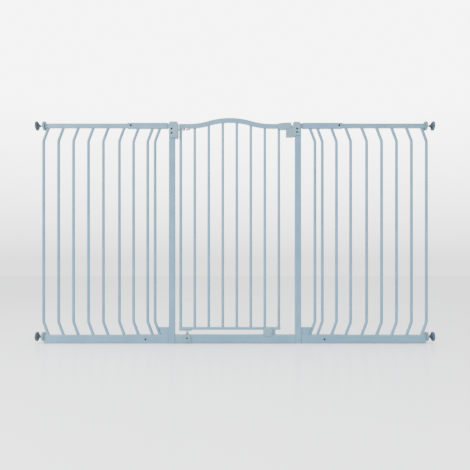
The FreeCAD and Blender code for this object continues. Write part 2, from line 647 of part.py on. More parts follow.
def make_latch_receiver():
    """Moulded cradle on the latch post that the tip of the latch housing drops into."""
    body = new_body("latch_receiver")
    shelf = "latch_bottom - latch_gap"
    foot = shelf + " - receiver_arm_height"
    high = "frame_height + receiver_rise"
    wall = "nose_x + latch_gap - post_face"
    step = foot + " + receiver_foot"
    front = new_sketch(body, "XZ_Plane", "receiver_arm_face", "receiver_arm_depth * 2 / 3")
    draw_outline(front, "a", (
        ("-receiver_arm", foot, "3"),
        (wall, foot),
        (wall + " + receiver_foot", step),
        ("receiver_foot", step),
        ("receiver_foot", "nose_z + latch_foot"),
        (wall, "nose_z + latch_foot"),
        (wall, "nose_z - latch_gap / 2"),
        ("nose_x - nose_back + 0.3 * latch_gap - post_face", shelf),
        ("-receiver_arm", shelf, "4"),
    ))
    pad(body, front, "receiver_arm_depth", reverse=True)
    plate = new_sketch(body, "XZ_Plane", "receiver_plate_face", "-bracket_y")
    draw_outline(plate, "p", (
        (wall, step),
        ("receiver_lap", step, "5"),
        ("receiver_lap", high, "8"),
        (wall, high, "8"),
    ))
    pad(body, plate, "bracket_size_y", reverse=True)
    round_edges(body, "bracket_edge", edges_at("Y", value("bracket_y")))
    cut_post_room(body, "0", "receiver_lap + post_side")
    slot = new_sketch(body, "YZ_Plane", "receiver_bolt_pocket", wall)
    draw_box(slot, "s", "-bolt_depth / 2 - bolt_room", "post_side",
             "bolt_axis - bolt_height / 2 - bolt_room", high + " + bolt_room")
    pocket(body, slot, "bolt_throw - latch_gap + bolt_room", reverse=True)
    cut_screw_seats(body, "receiver_screw", "receiver_space")
    keep(put(body, "post_face"), "latch_receiver")


def make_pivot_seat():
    """Moulded seat of the lower pivot: a front plate, a tongue over the threshold and a spigot."""
    body = new_body("pivot_seat")
    face = "base_depth / 2"
    plate = new_sketch(body, "XZ_Plane", "seat_plate_face", face)
    half = "seat_plate / 2"
    draw_outline(plate, "p", (
        ("-" + half, "threshold_gap + seat_plate_foot", "3"),
        (half, "threshold_gap + seat_plate_foot", "3"),
        (half, "seat_top", "seat_boss"),
        ("-" + half, "seat_top", "seat_boss"),
    ))
    pad(body, plate, "seat_plate_thickness")
    boss = new_sketch(body, "XZ_Plane", "seat_boss_face", face)
    draw_circle(boss, "b", "0", "seat_screw_z", "seat_boss")
    pad(body, boss, "seat_plate_thickness + seat_boss_rise")
    tongue = new_sketch(body, "XY_Plane", "seat_tongue", "base_height")
    draw_box(tongue, "t", "-seat_radius", "seat_radius", "-%s - seat_plate_thickness" % face, "0")
    pad(body, tongue, "seat_height")
    ring = new_sketch(body, "XY_Plane", "seat_ring", "base_height")
    draw_circle(ring, "r", "0", "0", "seat_radius")
    pad(body, ring, "seat_height")
    spigot = new_sketch(body, "XY_Plane", "seat_spigot_ring", "base_height")
    draw_circle(spigot, "s", "0", "0", "seat_spigot")
    pad(body, spigot, "seat_depth", reverse=True)
    bore = new_sketch(body, "XY_Plane", "seat_bore", "seat_top")
    draw_circle(bore, "b", "0", "0", "bore_radius")
    pocket(body, bore, "seat_height + seat_depth")
    for name, radius, depth in (("seat_counterbore", "screw_head + fit_gap", "screw_sink"),
                                ("seat_screw_hole", "screw_core", "seat_plate_thickness + seat_boss_rise")):
        hole = new_sketch(body, "XZ_Plane", name, face + " + seat_plate_thickness + seat_boss_rise")
        draw_circle(hole, "h", "0", "seat_screw_z", radius)
        pocket(body, hole, depth)
    keep(put(body, "hinge_x"), "pivot_seat")


def make_bottom_catch():
    """Moulded stop on the threshold: a lip in front of the leaf and a rest under it."""
    body = new_body("bottom_catch")
    face = "base_depth / 2"
    lip = new_sketch(body, "XZ_Plane", "catch_lip_face", face)
    draw_outline(lip, "l", (
        ("0", "-seat_height", "2"),
        ("catch_width", "-seat_height", "2"),
        ("catch_width", "catch_rise", "4"),
        ("0", "catch_rise", "4"),
    ))
    pad(body, lip, "catch_lip")
    foot = new_sketch(body, "XY_Plane", "catch_foot")
    draw_box(foot, "f", "0", "catch_length", "-" + face, face, "2")
    pad(body, foot, "catch_lip")
    rest = new_sketch(body, "XZ_Plane", "catch_rest_face")
    draw_outline(rest, "r", (
        ("catch_width + catch_space", "0"),
        ("catch_length", "0"),
        ("catch_length", "catch_rest", "4"),
        ("catch_width + catch_space", "catch_rest", "4"),
    ))
    pad(body, rest, "gusset_depth", midplane=True)
    keep(put(body, "post_face - catch_inset - catch_length", "0", "base_height"), "bottom_catch")


def make_screw(name, head, rise, grip):
    """Pan-head screw with a cross recess; its head faces the front and its seat is at y = 0."""
    body = new_body(name)
    profile = new_sketch(body, "XY_Plane", name + "_profile")
    draw_outline(profile, "p", (
        ("0", "-" + rise),
        (head, "-" + rise, rise + " * 0.7"),
        (head, "0"),
        ("screw_core", "0"),
        ("screw_core", grip),
        ("0", grip),
    ))
    turned = body.newObject("PartDesign::Revolution", name + "_turned")
    turned.Profile = profile
    turned.ReferenceAxis = (profile, ["V_Axis"])
    turned.Angle = 360
    doc.recompute()
    cross = new_sketch(body, "XZ_Plane", name + "_cross", rise)
    arm = head + " * 0.5"
    slim = head + " * 0.13"
    draw_outline(cross, "x", (
        ("-" + arm, "-" + slim), ("-" + slim, "-" + slim), ("-" + slim, "-" + arm),
        (slim, "-" + arm), (slim, "-" + slim), (arm, "-" + slim),
        (arm, slim), (slim, slim), (slim, arm),
        ("-" + slim, arm), ("-" + slim, slim), ("-" + arm, slim),
    ))
    pocket(body, cross, rise + " * 0.55")
    return body


def make_screws():
    bracket_seat = "bracket_y + screw_sink"
    boss_seat = "-base_depth / 2 - seat_plate_thickness - seat_boss_rise + screw_sink"
    spots = (
        ("-post_x", bracket_seat, "screw_z"),
        ("-post_x", bracket_seat, "screw_z - screw_space"),
        ("post_face + receiver_screw", bracket_seat, "screw_z"),
        ("post_face + receiver_screw", bracket_seat, "screw_z - receiver_space"),
        ("hinge_x", boss_seat, "seat_screw_z"),
    )
    screws = []
    for i, (across, depth, up) in enumerate(spots, 1):
        screw = make_screw("fixing_screw_%d" % i, "screw_head", "screw_head_rise", "screw_grip")
        screws.append(put(screw, across, depth, up))
    group("fixing_screws", screws)
    locks = []
    for side, sign in (("left", "-"), ("right", "")):
        for level, wall, gap, across, up, depth in (
                ("top", "sleeve_wall", "(sleeve_side / 2 - sleeve_wall - wing_side / 2)",
                 "post_outer + sleeve_start + sleeve_length - lock_inset", "rail_axis", "sleeve_side"),
                ("base", "base_wall", "fit_gap",
                 "post_outer + base_lock_reach", "base_height / 2", "base_depth")):
            name = "%s_%s_lock" % (side, level)
            screw = make_screw(name, "lock_head", "screw_head_rise", "%s + %s / 2" % (wall, gap))
            locks.append(put(screw, "%s(%s)" % (sign, across), "-%s / 2" % depth, up))
    group("rail_lock_screws", locks)


# ---------------------------------------------------------------- leaf
def arch_curve(sketch, tag, drop, left, right):
    """The leaf rail's line, dropped by a distance: level, up over one crest, and level again."""
    turn = "arch_turn"
    foot_radius = "(arch_radius + %s)" % drop
    crest_radius = "(arch_radius - %s)" % drop
    low = "-(%s)" % drop
    knee_in = "(arch_span - %s * sin(%s))" % (foot_radius, turn)
    knee_up = "arch_radius - %s * cos(%s)" % (foot_radius, turn)
    half_in = "(arch_span - %s * sin(%s / 2))" % (foot_radius, turn)
    half_up = "arch_radius - %s * cos(%s / 2)" % (foot_radius, turn)
    places = (
        (left, low),
        ("arch_mid - arch_span", low),
        ("arch_mid - " + knee_in, knee_up),
        ("arch_mid + " + knee_in, knee_up),
        ("arch_mid + arch_span", low),
        (right, low),
    )
    bows = (
        None,
        ("arch_mid - " + half_in, half_up),
        ("arch_mid", "arch_rise - " + drop),
        ("arch_mid + " + half_in, half_up),
        None,
    )
    radii = (None, foot_radius, crest_radius, foot_radius, None)
    at = [Vector(value(across), value(up), 0) for across, up in places]
    lines = []
    for i, bow in enumerate(bows):
        ends = [at[i], at[i + 1]]
        if bow is None:
            curve = Part.LineSegment(*ends)
        else:
            if i == 2:
                ends.reverse()
            curve = Part.Arc(ends[0], Vector(value(bow[0]), value(bow[1]), 0), ends[1])
        lines.append(sketch.addGeometry(curve))

    def end_near(line, point):
        shape = sketch.Geometry[line]
        near = shape.StartPoint.distanceToPoint(point) < shape.EndPoint.distanceToPoint(point)
        return 1 if near else 2

    for i in range(4):
        ends = (lines[i], end_near(lines[i], at[i + 1]), lines[i + 1], end_near(lines[i + 1], at[i + 1]))
        sketch.addConstraint(Sketcher.Constraint("Coincident", *ends))
    for i, radius in enumerate(radii):
        if radius is not None:
            sketch.addConstraint(Sketcher.Constraint("Radius", lines[i], value(radius)))
            name_last(sketch, "%sr%d" % (tag, i), radius)
    for i, (across, up) in enumerate(places):
        line = lines[min(i, 4)]
        fix_point(sketch, "%s%d" % (tag, i), line, end_near(line, at[i]), across, up)
    return lines


def make_gate_top_rail():
    body = new_body("gate_top_rail")
    start = "leaf_left + leaf_cap"
    path = new_sketch(body, "XZ_Plane", "top_rail_path")
    arch_curve(path, "p", "0", start, "leaf_right")
    section = new_sketch(body, "YZ_Plane", "top_rail_section", start)
    draw_tube(section, "s", "leaf_side", "leaf_side", "leaf_wall", "tube_corner")
    pipe = body.newObject("PartDesign::AdditivePipe", "top_rail_tube")
    pipe.Profile = section
    pipe.Spine = (path, ["Edge%d" % (i + 1) for i in range(5)])
    doc.recompute()
    hole = new_sketch(body, "XY_Plane", "top_rail_pin_hole")
    draw_circle(hole, "h", "hinge_x", "0", "pivot_radius + fit_gap")
    pocket(body, hole, "leaf_side")
    keep(put(body, "0", "0", "leaf_axis"), "gate_top_rail")


def make_gate_bottom_rail():
    length = "leaf_base_right - leaf_left - 2 * leaf_cap"
    rail = box_tube("gate_bottom_rail", "YZ_Plane", "leaf_side", "leaf_base_height", "leaf_wall", length)
    hole = new_sketch(rail, "XY_Plane", "bottom_rail_boss_hole")
    draw_circle(hole, "h", "hinge_x - leaf_left - leaf_cap", "0", "shoe_boss")
    pocket(rail, hole, "leaf_side")
    middle = "leaf_base_bottom + leaf_base_height / 2"
    keep(put(rail, "leaf_left + leaf_cap", "0", middle), "gate_bottom_rail")
    caps = []
    for name, across in (("left", "leaf_left"), ("right", "leaf_base_right - leaf_cap")):
        cap = new_body(name + "_rail_cap")
        face = new_sketch(cap, "YZ_Plane", name + "_rail_cap_face")
        draw_box(face, "c", "-leaf_side / 2", "leaf_side / 2",
                 "-leaf_base_height / 2", "leaf_base_height / 2", "tube_corner")
        pad(cap, face, "leaf_cap")
        caps.append(put(cap, across, "0", middle))
    group("bottom_rail_caps", caps)


def make_gate_bars():
    """Upright bars of the leaf, each cut off where it meets the underside of the top rail."""
    trim = new_body("above_top_rail")
    outline = new_sketch(trim, "XZ_Plane", "above_top_rail_outline")
    left, right, high = "leaf_left - leaf_side", "leaf_right + leaf_side", "arch_rise + 2 * leaf_side"
    lines = arch_curve(outline, "u", "leaf_side / 2", left, right)
    corners = [Vector(value(right), -value("leaf_side") / 2, 0), Vector(value(right), value(high), 0),
               Vector(value(left), value(high), 0), Vector(value(left), -value("leaf_side") / 2, 0)]
    sides = [outline.addGeometry(Part.LineSegment(corners[i], corners[i + 1])) for i in range(3)]
    loop = (lines[4], sides[0], sides[1], sides[2], lines[0])
    for first, second in zip(loop, loop[1:]):
        outline.addConstraint(Sketcher.Constraint("Coincident", first, 2, second, 1))
    outline.addConstraint(Sketcher.Constraint("Vertical", sides[0]))
    outline.addConstraint(Sketcher.Constraint("Vertical", sides[2]))
    outline.addConstraint(Sketcher.Constraint("Horizontal", sides[1]))
    outline.addConstraint(Sketcher.Constraint("DistanceY", -1, 1, sides[0], 2, value(high)))
    name_last(outline, "high", high)
    pad(trim, outline, "2 * leaf_side", midplane=True)
    put(trim, "0", "0", "leaf_axis")

    count = int(value("gate_spaces"))
    for i in range(count + 1):
        node = {0: "hinge_stile", count: "closing_stile"}.get(i, "gate_bar_%d" % i)
        size = "stile_size" if i == 0 else "gate_bar_size"
        blank = round_bar(node + "_blank", size, "leaf_axis + arch_rise + leaf_side - leaf_base_top")
        put(blank, "stile_x + %d * gate_pitch" % i, "0", "leaf_base_top")
        cut = doc.addObject("Part::Cut", node)
        cut.Base = blank
        cut.Tool = trim
        keep(cut, node)


def make_upper_pivot_insert():
    """Moulded end plug of the leaf's top rail, with the bore of the upper pivot."""
    body = new_body("upper_pivot_insert")
    flange = new_sketch(body, "YZ_Plane", "insert_flange")
    half = "leaf_side / 2"
    draw_box(flange, "f", "-" + half, half, "-" + half, half, "tube_corner")
    pad(body, flange, "leaf_cap")
    block = new_sketch(body, "YZ_Plane", "insert_block")
    inner = "(%s - leaf_wall - running_gap)" % half
    draw_box(block, "b", "-" + inner, inner, "-" + inner, inner, "tube_corner - leaf_wall")
    pad(body, block, "hinge_x - leaf_left + 2 * pivot_radius")
    bore = new_sketch(body, "XY_Plane", "insert_bore", "leaf_side")
    draw_circle(bore, "b", "hinge_x - leaf_left", "0", "bore_radius")
    pocket(body, bore, "2 * leaf_side")
    keep(put(body, "leaf_left", "0", "leaf_axis"), "upper_pivot_insert")


def make_lower_pivot():
    """Shoe under the leaf, and the cone-headed pin that carries it and lifts with it."""
    shoe = new_body("lower_pivot_shoe")
    plan = new_sketch(shoe, "XY_Plane", "shoe_plan")
    half = "leaf_side / 2"
    draw_box(plan, "p", "leaf_left + shoe_inset - hinge_x", "shoe_reach", "-" + half, half, "2")
    pad(shoe, plan, "shoe_thickness")
    boss = new_sketch(shoe, "XY_Plane", "shoe_boss_ring")
    draw_circle(boss, "b", "0", "0", "shoe_boss")
    pad(shoe, boss, "shoe_thickness + leaf_base_height - leaf_wall - fit_gap")
    bore = new_sketch(shoe, "XY_Plane", "shoe_bore", "shoe_thickness + leaf_base_height")
    draw_circle(bore, "b", "0", "0", "bore_radius")
    pocket(shoe, bore, "2 * leaf_side")
    keep(put(shoe, "hinge_x", "0", "shoe_bottom"), "lower_pivot_shoe")

    pin = new_body("lower_pivot_pin")
    profile = new_sketch(pin, "XZ_Plane", "pivot_pin_profile")
    foot = "seat_top + cone_gap"
    draw_outline(profile, "p", (
        ("0", "base_height - seat_depth - pin_foot"),
        ("pivot_radius", "base_height - seat_depth - pin_foot"),
        ("pivot_radius", foot),
        ("cone_foot", foot),
        ("cone_top", "cone_top_z - cone_rim", "1"),
        ("cone_top", "cone_top_z"),
        ("pivot_radius", "cone_top_z"),
        ("pivot_radius", "leaf_base_top - leaf_wall - pin_head_gap"),
        ("0", "leaf_base_top - leaf_wall - pin_head_gap"),
    ))
    turned = pin.newObject("PartDesign::Revolution", "pivot_pin_turned")
    turned.Profile = profile
    turned.ReferenceAxis = (profile, ["V_Axis"])
    turned.Angle = 360
    doc.recompute()
    keep(put(pin, "hinge_x"), "lower_pivot_pin")


# ---------------------------------------------------------------- latch
def make_latch_housing():
    """Moulded handle on the end of the leaf's top rail, hollow for the bolt and its slide."""
    body = new_body("latch_housing")
    left = "closing_x - latch_lap"
    side = new_sketch(body, "XZ_Plane", "housing_side")
    draw_outline(side, "h", (
        (left, "latch_bottom", "1.5"),
        ("nose_x - nose_back", "latch_bottom", "3"),
        ("nose_x", "nose_z", "2"),
        ("nose_x - nose_top_back", "latch_top + latch_slope", "3"),
        (left, "latch_top", "1.5"),
    ))
    pad(body, side, "latch_depth", midplane=True)
    half = value("latch_depth") / 2
    front = edges_at("Y", -half)
    back = edges_at("Y", half)
    round_edges(body, "latch_edge", lambda edge: front(edge) or back(edge))
    rail = new_sketch(body, "YZ_Plane", "housing_rail_room", left)
    box = "leaf_side / 2"
    draw_box(rail, "r", "-" + box, box, "leaf_axis - " + box, "leaf_axis + " + box)
    pocket(body, rail, "leaf_right - closing_x + latch_lap", reverse=True)
    bar = new_sketch(body, "XY_Plane", "housing_bar_room")
    draw_circle(bar, "b", "closing_x", "0", "gate_bar_size / 2 + fit_gap")
    pocket(body, bar, "leaf_under", reverse=True)
    channel = new_sketch(body, "YZ_Plane", "housing_bolt_channel", "leaf_right + latch_wall")
    wide, tall = "bolt_depth / 2 + fit_gap", "bolt_height / 2 + fit_gap"
    draw_box(channel, "c", "-(%s)" % wide, wide, "bolt_axis - (%s)" % tall, "bolt_axis + " + tall)
    pocket(body, channel, "latch_depth * 3", reverse=True)
    slot = new_sketch(body, "XY_Plane", "housing_thumb_slot", "bolt_axis")
    draw_box(slot, "s", "thumb_x - thumb_neck / 2 - bolt_travel - fit_gap",
             "thumb_x + thumb_neck / 2 + fit_gap",
             "-thumb_neck / 4 - fit_gap", "thumb_neck / 4 + fit_gap")
    pocket(body, slot, "latch_depth", reverse=True)
    recess = new_sketch(body, "XY_Plane", "housing_thumb_recess", "thumb_floor")
    draw_box(recess, "r", "thumb_x - thumb_length / 2 - bolt_travel - fit_gap",
             "thumb_x + thumb_length / 2 + fit_gap",
             "-thumb_width / 2 - fit_gap", "thumb_width / 2 + fit_gap", "2")
    pocket(body, recess, "latch_depth", reverse=True)
    keep(body, "latch_housing")


def make_bolt():
    """Bolt, thumb slide and return spring inside the latch housing."""
    bolt = new_body("latch_bolt")
    face = new_sketch(bolt, "YZ_Plane", "bolt_section")
    draw_box(face, "b", "-bolt_depth / 2", "bolt_depth / 2", "-bolt_height / 2", "bolt_height / 2", "1")
    pad(bolt, face, "bolt_length")
    round_edges(bolt, "bolt_chamfer", edges_at("X", value("bolt_length")), chamfer=True)
    keep(put(bolt, "bolt_rear", "0", "bolt_axis"), "latch_bolt")

    slide = new_body("thumb_slide")
    cap = new_sketch(slide, "XY_Plane", "thumb_cap")
    draw_box(cap, "c", "-thumb_length / 2", "thumb_length / 2", "-thumb_width / 2", "thumb_width / 2", "2")
    pad(slide, cap, "thumb_height")
    round_edges(slide, "1", edges_at("Z", value("thumb_height")))
    neck = new_sketch(slide, "XY_Plane", "thumb_neck_section")
    draw_box(neck, "n", "-thumb_neck / 2", "thumb_neck / 2", "-thumb_neck / 4", "thumb_neck / 4")
    pad(slide, neck, "thumb_floor + fit_gap - bolt_axis - bolt_height / 2", reverse=True)
    keep(put(slide, "thumb_x", "0", "thumb_floor + fit_gap"), "thumb_slide")

    start = "leaf_right + latch_wall"
    room = "(bolt_rear - (%s) - spring_wire)" % start
    coil = doc.addObject("Part::Helix", "spring_line")
    coil.setExpression("Height", full(room))
    coil.setExpression("Pitch", full(room + " / spring_turns"))
    coil.setExpression("Radius", full("spring_radius"))
    wire = doc.addObject("Part::Circle", "spring_wire_section")
    wire.setExpression("Radius", full("spring_wire / 2"))
    wire.Placement = FreeCAD.Placement(Vector(value("spring_radius"), 0, 0), Rotation(Vector(1, 0, 0), 90))
    wire.setExpression("Placement.Base.x", full("spring_radius"))
    doc.recompute()
    spring = doc.addObject("Part::Sweep", "latch_spring")
    spring.Sections = [wire]
    spring.Spine = (coil, ["Edge1"])
    spring.Solid = True
    spring.Frenet = True
    put(spring, start + " + spring_wire / 2", "0", "bolt_axis", 90, Vector(0, 1, 0))
    keep(spring, "latch_spring")


# ---------------------------------------------------------------- wings and wall pads
def make_wing(side):
    """One telescoping wing: its two rails, its bent bars and two end plugs."""
    top = box_tube(side + "_wing_top_rail", "YZ_Plane", "wing_side", "wing_side", "wing_wall",
                   "wing_top_reach - plug_flange - wing_top_inset")
    keep(put_on_side(top, side, "post_outer + wing_top_inset", "rail_axis"), side + "_wing_top_rail")
    base = box_tube(side + "_wing_base_rail", "YZ_Plane", "wing_base_depth", "wing_base_height",
                    "wing_wall", "wing_base_reach - plug_flange - wing_base_inset")
    keep(put_on_side(base, side, "post_outer + wing_base_inset", "wing_base_axis"), side + "_wing_base_rail")
    bars = []
    for i in range(int(value("wing_bar_count"))):
        step = "0" if i == 0 else "wing_bar_step + %d * wing_bar_pitch" % (i - 1)
        bar = bent_bar("%s_wing_bar_%d" % (side, i + 1), "wing_base_top", "wing_under")
        bars.append(put_on_side(bar, side, "wing_bar_x + " + step))
    group(side + "_wing_bars", bars)
    make_plug(side, "top", "wing_side", "wing_side", "top_plug_x", "rail_axis", "0")
    make_plug(side, "base", "wing_base_depth", "wing_base_height", "base_plug_x", "wing_base_axis",
              "pad_axis_height - wing_base_axis")


def make_plug(side, level, depth, height, across, up, bore_up):
    """End plug: a flange as large as the rail, a block inside it and a bore for the spindle."""
    node = "%s_%s_plug" % (side, level)
    body = new_body(node)
    flange = new_sketch(body, "YZ_Plane", node + "_flange")
    half_depth, half_height = depth + " / 2", height + " / 2"
    draw_box(flange, "f", "-" + half_depth, half_depth, "-" + half_height, half_height, "tube_corner")
    pad(body, flange, "plug_flange", reverse=True)
    block = new_sketch(body, "YZ_Plane", node + "_block")
    deep, tall = "(%s / 2 - wing_wall)" % depth, "(%s / 2 - wing_wall)" % height
    draw_box(block, "b", "-" + deep, deep, "-" + tall, tall, "tube_corner - wing_wall")
    pad(body, block, "plug_flange + plug_depth", reverse=True)
    bore = new_sketch(body, "YZ_Plane", node + "_bore")
    draw_circle(bore, "h", "0", bore_up, "spindle_radius + plug_gap")
    pocket(body, bore, "2 * plug_depth")
    keep(put_on_side(body, side, across, up), node)


def make_pressure_mount(side, level, plug, up):
    """Spindle, moulded wall pad and hand nut at one end of a rail."""
    spindle = new_body("%s_%s_spindle" % (side, level))
    rod = new_sketch(spindle, "YZ_Plane", spindle.Name + "_section")
    draw_circle(rod, "r", "0", "0", "spindle_radius")
    pad(spindle, rod, "spindle_length", reverse=True)
    round_edges(spindle, "1", edges_at("X", -value("spindle_length")), chamfer=True)
    seat = "pad_face_x - pad_depth + spindle_seat"
    keep(put_on_side(spindle, side, seat, up), spindle.Name)

    cup = new_body("%s_%s_wall_pad" % (side, level))
    profile = new_sketch(cup, "XZ_Plane", cup.Name + "_profile")
    draw_outline(profile, "p", (
        ("0", "spindle_radius"),
        ("spindle_seat", "spindle_radius"),
        ("spindle_seat", "0"),
        ("pad_depth - pad_dish", "0"),
        ("pad_depth - pad_dish", "pad_radius - pad_lip - pad_dish_slope"),
        ("pad_depth", "pad_radius - pad_lip"),
        ("pad_depth", "pad_radius", "1"),
        ("pad_depth - pad_rim", "pad_radius", "1.5"),
        ("pad_depth - pad_rim - pad_flare", "pad_hub + pad_waist", "4"),
        ("0", "pad_hub", "1"),
    ))
    turned = cup.newObject("PartDesign::Revolution", cup.Name + "_turned")
    turned.Profile = profile
    turned.ReferenceAxis = (profile, ["H_Axis"])
    turned.Angle = 360
    doc.recompute()
    keep(put_on_side(cup, side, "pad_face_x - pad_depth", up), cup.Name)

    nut = new_body("%s_%s_hand_nut" % (side, level))
    for part, radius, length in (("grip", "nut_radius", "nut_thickness - nut_hub_rise"),
                                 ("hub", "nut_hub", "nut_thickness")):
        ring = new_sketch(nut, "YZ_Plane", "%s_%s" % (nut.Name, part))
        draw_circle(ring, "d", "0", "0", radius)
        draw_circle(ring, "b", "0", "0", "spindle_radius + running_gap")
        pad(nut, ring, length)
    scallop = new_sketch(nut, "YZ_Plane", nut.Name + "_scallop")
    draw_circle(scallop, "s", "0", "nut_radius + nut_scallop / 3", "nut_scallop")
    cut = pocket(nut, scallop, "nut_thickness", reverse=True)
    ring = nut.newObject("PartDesign::PolarPattern", nut.Name + "_ring")
    ring.Originals = [cut]
    ring.Axis = (scallop, ["N_Axis"])
    ring.Angle = 360
    ring.Occurrences = int(value("nut_scallops"))
    nut.Tip = ring
    doc.recompute()
    keep(put_on_side(nut, side, plug + " + fit_gap", up), nut.Name)


make_posts()
make_threshold()
make_hinge_bracket()
make_hinge_arm()
make_latch_receiver()
make_pivot_seat()
make_bottom_catch()
make_screws()
make_gate_top_rail()
make_gate_bottom_rail()
make_gate_bars()
make_upper_pivot_insert()
make_lower_pivot()
make_latch_housing()
make_bolt()
for gate_side in ("left", "right"):
    make_side_frame(gate_side)
    make_wing(gate_side)
    make_pressure_mount(gate_side, "top", "top_plug_x", "rail_axis")
    make_pressure_mount(gate_side, "base", "base_plug_x", "pad_axis_height")

doc.recompute()
for item in doc.Objects:
    if "Invalid" in item.State or "Error" in item.State:
        raise RuntimeError("%s did not build: %s" % (item.Label, item.State))
os.makedirs("parts", exist_ok=True)
for node, item in made.items():
    if item.Shape.isNull() or not item.Shape.isValid():
        raise RuntimeError("%s has no valid shape" % node)
    item.Shape.exportStep("parts/%s.step" % node)
print("wrote %d sub-parts" % len(made))
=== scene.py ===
"""Looks of the pressure-fitted pet gate: powder-coated steel, moulded plastic, rubber pads, zinc steel."""
import bpy
import bmesh
import math
import random
from mathutils import Matrix, Vector


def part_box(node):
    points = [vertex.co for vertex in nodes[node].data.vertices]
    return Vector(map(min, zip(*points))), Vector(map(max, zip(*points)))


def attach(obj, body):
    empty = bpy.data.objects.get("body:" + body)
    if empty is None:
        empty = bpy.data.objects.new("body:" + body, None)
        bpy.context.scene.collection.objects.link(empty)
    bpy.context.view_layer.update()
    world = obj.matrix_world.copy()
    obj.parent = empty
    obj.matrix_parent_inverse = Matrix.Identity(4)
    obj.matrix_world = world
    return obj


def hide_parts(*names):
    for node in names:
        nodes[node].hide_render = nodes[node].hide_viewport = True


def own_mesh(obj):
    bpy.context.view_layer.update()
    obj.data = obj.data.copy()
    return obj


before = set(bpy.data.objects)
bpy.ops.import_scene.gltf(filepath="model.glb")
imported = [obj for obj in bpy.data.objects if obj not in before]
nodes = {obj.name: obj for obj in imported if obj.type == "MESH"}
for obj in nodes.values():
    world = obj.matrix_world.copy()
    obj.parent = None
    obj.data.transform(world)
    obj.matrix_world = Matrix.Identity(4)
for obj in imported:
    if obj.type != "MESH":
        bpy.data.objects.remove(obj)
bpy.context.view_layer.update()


# ---------------------------------------------------------------- materials
# nearly all of a noise lies between these two values, so gloss is spread over them
NOISE_SPREAD = {"From Min": 0.3, "From Max": 0.7}


def paint(code):
    """A hex sRGB colour as linear RGBA."""
    parts = [int(code[i:i + 2], 16) / 255 for i in (1, 3, 5)]
    return tuple(c / 12.92 if c <= 0.04045 else ((c + 0.055) / 1.055) ** 2.4 for c in parts) + (1,)


def add(tree, kind, settings=None, links=None):
    """A node with its settings, by property or input name, and its incoming links."""
    item = tree.nodes.new(kind)
    for name, number in (settings or {}).items():
        if isinstance(name, int) or name in item.inputs:
            item.inputs[name].default_value = number
        else:
            setattr(item, name, number)
    for name, source in (links or {}).items():
        tree.links.new(source, item.inputs[name])
    return item


def begin(name):
    material = bpy.data.materials.new(name)
    material.use_nodes = True
    tree = material.node_tree
    tree.nodes.clear()
    place = add(tree, "ShaderNodeTexCoord").outputs["Object"]
    return material, tree, place


def finish(tree, shader):
    add(tree, "ShaderNodeOutputMaterial", links={"Surface": shader.outputs[0]})


def powder_coat(name, base, shade, light):
    """Satin polyester powder coat on welded steel tube: an even colour with a fine orange peel."""
    material, tree, place = begin(name)
    # baked powder drifts very slightly in tone over a hand's width
    drift = add(tree, "ShaderNodeTexNoise", {"Scale": 1000 / 90, "Detail": 2}, {"Vector": place})
    tone = add(tree, "ShaderNodeValToRGB", links={"Fac": drift.outputs["Fac"]})
    tone.color_ramp.elements[0].position = 0.3
    tone.color_ramp.elements[0].color = paint(shade)
    tone.color_ramp.elements[1].position = 0.7
    tone.color_ramp.elements[1].color = paint(light)
    middle = tone.color_ramp.elements.new(0.5)
    middle.color = paint(base)
    # orange peel waves are about 2 mm apart, with 0.5 mm grain on top
    peel = add(tree, "ShaderNodeTexNoise", {"Scale": 1000 / 2.2, "Detail": 3, "Roughness": 0.55},
               {"Vector": place})
    gloss = add(tree, "ShaderNodeMapRange", {**NOISE_SPREAD, "To Min": 0.38, "To Max": 0.48},
                {"Value": peel.outputs["Fac"]})
    bump = add(tree, "ShaderNodeBump", {"Strength": 0.25, "Distance": 0.0003},
               {"Height": peel.outputs["Fac"]})
    shader = add(tree, "ShaderNodeBsdfPrincipled", {"IOR": 1.5},
                 {"Base Color": tone.outputs["Color"], "Roughness": gloss.outputs["Result"],
                  "Normal": bump.outputs["Normal"]})
    finish(tree, shader)
    return material


def moulded(name, base, light, grain_mm, rough, ior=1.53):
    """Moulded plastic or rubber with a spark-eroded grain and a faint flow mottle 24 mm across."""
    material, tree, place = begin(name)
    flow = add(tree, "ShaderNodeTexNoise", {"Scale": 1000 / 24, "Detail": 3, "Distortion": 0.6},
               {"Vector": place})
    tone = add(tree, "ShaderNodeMix", {"data_type": "RGBA", 6: paint(base), 7: paint(light)},
               {0: flow.outputs["Fac"]})
    grain = add(tree, "ShaderNodeTexNoise", {"Scale": 1000 / grain_mm, "Detail": 2}, {"Vector": place})
    gloss = add(tree, "ShaderNodeMapRange",
                {**NOISE_SPREAD, "To Min": rough - 0.05, "To Max": rough + 0.06},
                {"Value": grain.outputs["Fac"]})
    bump = add(tree, "ShaderNodeBump", {"Strength": 0.35, "Distance": 0.00018},
               {"Height": grain.outputs["Fac"]})
    shader = add(tree, "ShaderNodeBsdfPrincipled", {"IOR": ior},
                 {"Base Color": tone.outputs[2], "Roughness": gloss.outputs["Result"],
                  "Normal": bump.outputs["Normal"]})
    finish(tree, shader)
    return material


